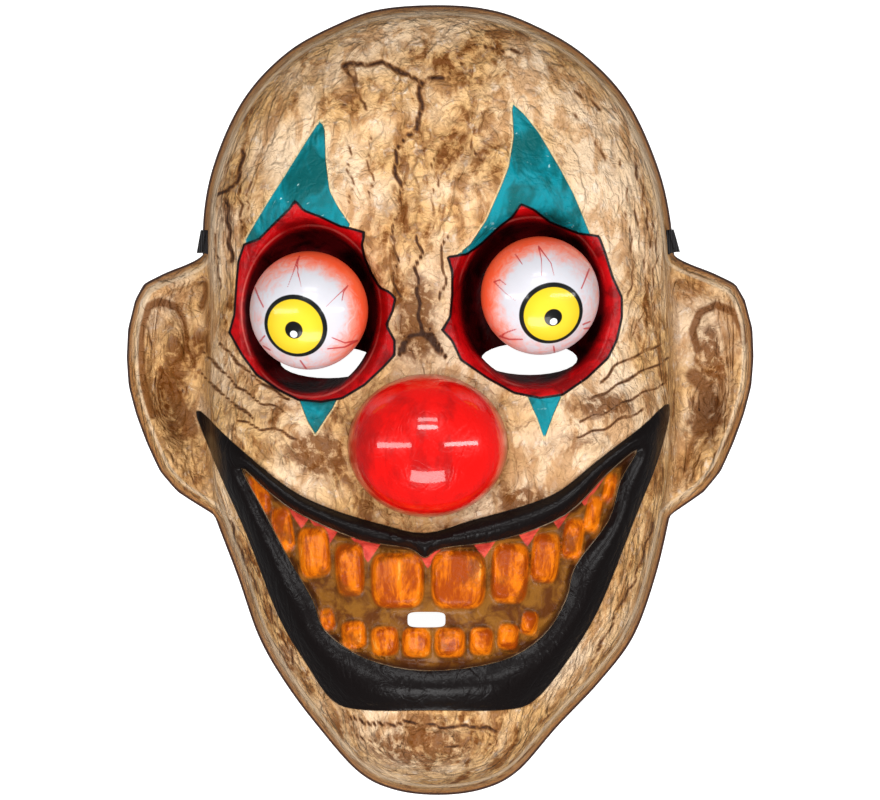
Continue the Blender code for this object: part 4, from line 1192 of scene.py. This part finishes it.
    relief = p.times(worms, -0.45)
    relief = p.maths("SUBTRACT", relief, p.times(small, 0.22))
    relief = p.maths("SUBTRACT", relief, p.times(p.times(bark, rim_side), 0.5))
    relief = p.maths("ADD", relief, p.times(lumps, 1.6))
    relief = p.maths("ADD", relief, p.times(grain, 0.75))
    flat = p.most(smooth, p.times(p.step(teal, -0.2, 0.2), 0.7))
    relief = p.times(relief, p.step(flat, 0.0, 1.0, 1.0, 0.15))
    return p.finish(face, rough, coat, relief, 0.0014)


def bare_plastic():
    p = Paint("bare_plastic")
    return p.finish("bare_plastic", 0.42)


# Where each eye looks: how many degrees across and up its iris, its pupil and its printed spark are turned
GAZE = {
    "left": ((-14.8, -18.2), (-14.4, -19.8), (-14.4, -24.0)),
    "right": ((12.4, -20.8), (12.6, -22.2), (12.9, -26.4)),
}

# Printed veins, as shares of the ball's radius across and up from its middle
VEINS = {
    "left": [
        [(-0.35, 0.39), (-0.26, 0.63), (-0.19, 0.85), (-0.18, 0.63), (-0.12, 0.39)],
        [(0.29, 0.05), (0.46, 0.22), (0.66, 0.41), (0.59, 0.31), (0.56, 0.15)],
        [(-0.91, 0.38), (-0.84, 0.21), (-0.76, 0.05)],
        [(0.39, -0.46), (0.61, -0.55), (0.82, -0.51), (0.61, -0.62), (0.32, -0.65)],
        [(-0.83, -0.53), (-0.74, -0.43)],
        [(-0.14, -0.85), (-0.04, -0.99)],
        [(-0.77, -0.6), (-0.65, -0.67)],
        [(-0.16, 0.91), (-0.19, 0.8)],
    ],
    "right": [
        [(0.02, 0.32), (0.02, 0.59), (-0.03, 0.83), (0.07, 0.69), (0.18, 0.54), (0.23, 0.33)],
        [(-0.42, -0.09), (-0.59, 0.04), (-0.78, 0.23), (-0.68, 0.26), (-0.58, 0.18)],
        [(0.83, 0.45), (0.76, 0.28), (0.69, 0.11)],
        [(0.84, -0.44), (0.72, -0.49)],
        [(-0.41, -0.57), (-0.56, -0.62), (-0.68, -0.69), (-0.52, -0.74), (-0.3, -0.74)],
        [(0.23, -0.86), (0.24, -0.97)],
        [(0.74, -0.56), (0.88, -0.54)],
        [(-0.42, 0.69), (-0.3, 0.52)],
    ],
}

# Where the blush is strongest, in clock hours, and how many hours it reaches each way
BLUSH = {"left": (1.6, 3.6), "right": (10.4, 3.6)}

# Half angles in degrees of the printed eye's parts
RING_ANGLE = 33.4
IRIS_ANGLE = 28.6
PUPIL_ANGLE = 8.9
SPARK_ANGLE = 3.6


def off_axis(directions, turned):
    """Degrees between each direction and an axis turned across and up from straight ahead."""
    across, up = (math.radians(turn) for turn in turned)
    axis = np.array([math.sin(across), math.sin(up), 0])
    axis[2] = math.sqrt(1 - axis[0] ** 2 - axis[1] ** 2)
    return np.degrees(np.arccos(np.clip(directions @ axis, -1, 1)))


def visual_eyeball(side):
    """The hollow ball at full detail, closed over its edge as the CAD ball is."""
    radius, base = EYEBALL_DIAMETER / 2, EYEBALL_BASE_DIAMETER / 2
    drop = math.sqrt(radius**2 - base**2)
    inner = radius - EYEBALL_WALL
    outer_angles = np.linspace(0, math.acos(-drop / radius), BALL_OUTER_RINGS)
    inner_angles = np.linspace(math.acos(-drop / inner), 0, BALL_INNER_RINGS)
    profile = [(radius * math.sin(a), radius * math.cos(a)) for a in outer_angles[1:]]
    profile += [(inner * math.sin(a), inner * math.cos(a)) for a in inner_angles[:-1]]
    turns = np.linspace(0, 2 * math.pi, BALL_SIDES, endpoint=False)
    points = [(0, 0, radius)]
    for out, up in profile:
        points += [(out * math.cos(turn), out * math.sin(turn), up) for turn in turns]
    points.append((0, 0, inner))
    faces = [(0, 1 + n, 1 + (n + 1) % BALL_SIDES) for n in range(BALL_SIDES)]
    faces += ring_faces(1, len(profile), BALL_SIDES)
    mesh = bpy.data.meshes.new(f"eyeball_{side}_fine")
    mesh.from_pydata(points, [], faces)
    shade(mesh, OTHER_SHARP)
    points = np.array(points)
    directions = points / np.linalg.norm(points, axis=1)[:, None]
    for name, turned in zip(("iris", "pupil", "spark"), GAZE[side]):
        store(mesh, name, off_axis(directions, turned))
    across, up = (points[:, :2] / radius).T
    front = points[:, 2] > 0
    near = off_lines(VEINS[side], across, up) * radius / MM
    out = np.hypot(across, up)
    taper = 0.12 + 0.22 * np.clip((out - 0.4) / 0.5, 0, 1)
    store(mesh, "vein", np.where(front, near / taper, 9.0))
    hour, reach = BLUSH[side]
    turn = np.arctan2(across, up) - hour / 6 * math.pi
    round_share = np.abs((turn + math.pi) % (2 * math.pi) - math.pi) / (reach / 6 * math.pi)
    side_share = np.clip(1.25 - 0.80 * round_share**1.5, 0.30, 1.15)
    depth = np.where(front, out, 1.0)
    store(mesh, "blush", np.clip((depth - 0.56) / 0.40, 0, 1) * side_share)
    mesh.materials.append(painted_eye(side))
    middle = (*on_face(EYE_PLACES[side]), SOCKET_FLOOR + SEAT_CLEARANCE + drop)
    return placed(f"eyeball_{side}_fine", mesh, middle)


def disc(p, away, angle, face, colour):
    """A round print on the eye, up to that angle off its axis and over the face's colour."""
    return p.mix(p.step(away, angle + 0.5, angle - 0.5), face, colour)


def painted_eye(side):
    p = Paint(f"painted_eye_{side}")
    iris, pupil, spark, vein, blush = (p.kept(n) for n in ("iris", "pupil", "spark", "vein", "blush"))
    white = p.mix(p.noise(90), "eye_white", "deep_eye_white")
    flare = p.maths("SUBTRACT", p.noise(210, 5, 0.7, twist=1.4), 0.5)
    ragged = p.maths("ADD", blush, p.times(flare, 1.0))
    face = p.mix(p.step(ragged, 0.05, 0.62, 0.0, 0.8), white, "blush")
    face = p.mix(p.step(ragged, 0.45, 0.95, 0.0, 0.9), face, "deep_blush")
    face = p.mix(p.step(vein, 1.3, 0.45, 0.0, 0.85), face, "vein")
    face = disc(p, iris, RING_ANGLE, face, "iris_ring")
    yellow = p.mix(p.step(iris, 14.0, 29.0), "iris", "iris_edge")
    face = disc(p, iris, IRIS_ANGLE, face, yellow)
    face = disc(p, pupil, PUPIL_ANGLE, face, "pupil")
    face = disc(p, spark, SPARK_ANGLE, face, "spark")
    return p.finish(face, 0.28, 0.25)


def woven_elastic():
    p = Paint("woven_elastic")
    ribs = p.add("ShaderNodeTexWave", {"Vector": p.place, "Scale": 420.0, "Distortion": 0.4})
    face = p.mix(ribs, "elastic", "elastic_rib")
    return p.finish(face, 0.85, 0.0, ribs, 0.0003)


def visual_strap():
    """The elastic band with rounded edges, along the CAD band's own route."""
    route = strap_route()
    places = route[:, :3]
    sections = []
    for place, direction, turn in zip(places, np.gradient(places, axis=0), route[:, 3]):
        along = Vector(direction).normalized()
        through = Vector((-along.y, along.x, 0)).normalized()
        upright = along.cross(through)
        quarter = math.pi / 2 * min(max(turn, 0), 1) * math.copysign(1, place[0])
        width = upright * math.cos(quarter) + through * math.sin(quarter)
        sections.append((Vector(place), width, along.cross(width), STRAP_THICKNESS))
    for index, sign in ((0, -1), (-1, 1)):
        place, width, through, _ = sections[index]
        outward = strap_exit(sign)[1]
        grown = []
        for reach, share in ((0, 0.6), (0.12, 1), (0.88, 1), (1, 0.6)):
            middle = place + outward * STRAP_END_LENGTH * reach
            grown.append((middle, width, through, STRAP_END_THICKNESS * share))
        sections = grown[::-1] + sections if index == 0 else sections + grown
    bm = bmesh.new()
    rings = []
    for place, width, through, thickness in sections:
        ring = []
        for turn in np.linspace(0, 2 * math.pi, STRAP_SIDES, endpoint=False):
            across, over = math.cos(turn), math.sin(turn)
            across = math.copysign(abs(across) ** 0.35, across)
            over = math.copysign(abs(over) ** 0.55, over)
            spot = place + width * (STRAP_WIDTH / 2 * across) + through * (thickness / 2 * over)
            ring.append(bm.verts.new(spot))
        rings.append(ring)
    for ring, following in zip(rings, rings[1:]):
        for side in range(len(ring)):
            beside = (side + 1) % len(ring)
            bm.faces.new((ring[side], ring[beside], following[beside], following[side]))
    bm.faces.new(rings[0][::-1])
    bm.faces.new(rings[-1])
    bmesh.ops.recalc_face_normals(bm, faces=bm.faces)
    mesh = bpy.data.meshes.new("elastic_strap_fine")
    bm.to_mesh(mesh)
    shade(mesh, OTHER_SHARP)
    mesh.materials.append(woven_elastic())
    strap = placed("elastic_strap_fine", mesh)
    run = float(np.linalg.norm(np.diff(places, axis=0), axis=1).sum())
    return strap, places, run


# The photo's framing. Its 880 pixels span VIEW_WIDTH at the trim edge, seen from far above.
VIEW_WIDTH = 0.30076
VIEW_HEIGHT = 5.0

# The white table, how far under the mask it lies and how much it shines, and the light all round
TABLE_WIDTH = 3.0
TABLE_DROP = 0.0004
TABLE_SHINE = 0.95
LAMP_AIM = (0, 0, 0.03)
WORLD_STRENGTH = 0.18


def camera():
    data = bpy.data.cameras.new("camera")
    data.sensor_width = 36.0
    data.lens = data.sensor_width * VIEW_HEIGHT / VIEW_WIDTH
    data.clip_end = 20
    bpy.context.scene.camera = placed("camera", data, (0, 0, VIEW_HEIGHT))


def lamp(name, place, size, power):
    """A rectangular lamp that is aimed at the mask."""
    data = bpy.data.lights.new(name, "AREA")
    data.shape = "RECTANGLE"
    data.size, data.size_y = size
    data.energy = power
    made = placed(name, data, place)
    made.rotation_euler = (Vector(LAMP_AIM) - Vector(place)).to_track_quat("-Z", "Y").to_euler()


def backdrop():
    """A white table that shines a little, so that it stays white round the mask and through its slots."""
    mesh = bpy.data.meshes.new("table")
    half = TABLE_WIDTH / 2
    corners = [(-half, -half, 0), (half, -half, 0), (half, half, 0), (-half, half, 0)]
    mesh.from_pydata(corners, [], [(0, 1, 2, 3)])
    p = Paint("white_table")
    p.put(p.shader.inputs["Base Color"], "table")
    p.put(p.shader.inputs["Roughness"], 0.9)
    p.put(p.shader.inputs["Emission Color"], "white")
    p.put(p.shader.inputs["Emission Strength"], TABLE_SHINE)
    mesh.materials.append(p.material)
    table = placed("table", mesh, (0, 0, -TABLE_DROP))
    table.visible_diffuse = False
    table.visible_glossy = False


def lighting():
    lamp("upper_bar", (0.0, 0.62, 1.15), (0.55, 0.16), 5.8)
    lamp("upper_bar_far", (0.0, 1.15, 1.3), (0.7, 0.18), 5.0)
    lamp("left_strip", (-0.85, 0.0, 0.85), (0.16, 1.1), 7.5)
    lamp("right_strip", (0.85, 0.05, 0.85), (0.12, 1.1), 8.5)
    lamp("lower_fill", (0.0, -1.1, 0.9), (1.0, 0.5), 18.0)
    world = bpy.data.worlds.new("world")
    world.use_nodes = True
    around = world.node_tree.nodes["Background"].inputs
    around["Color"].default_value = (1, 1, 1, 1)
    around["Strength"].default_value = WORLD_STRENGTH
    bpy.context.scene.world = world
    bpy.context.scene.view_settings.view_transform = "Standard"
    bpy.context.scene.view_settings.look = "None"


shell = visual_shell()
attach(shell, "root")
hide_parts("mask_shell")
for eye_side in EYE_PLACES:
    ball = visual_eyeball(eye_side)
    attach(ball, "root")
    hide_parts(f"eyeball_{eye_side}")
strap, strap_line, strap_length = visual_strap()
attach(strap, "root")
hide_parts("elastic_strap")
backdrop()
lighting()
camera()
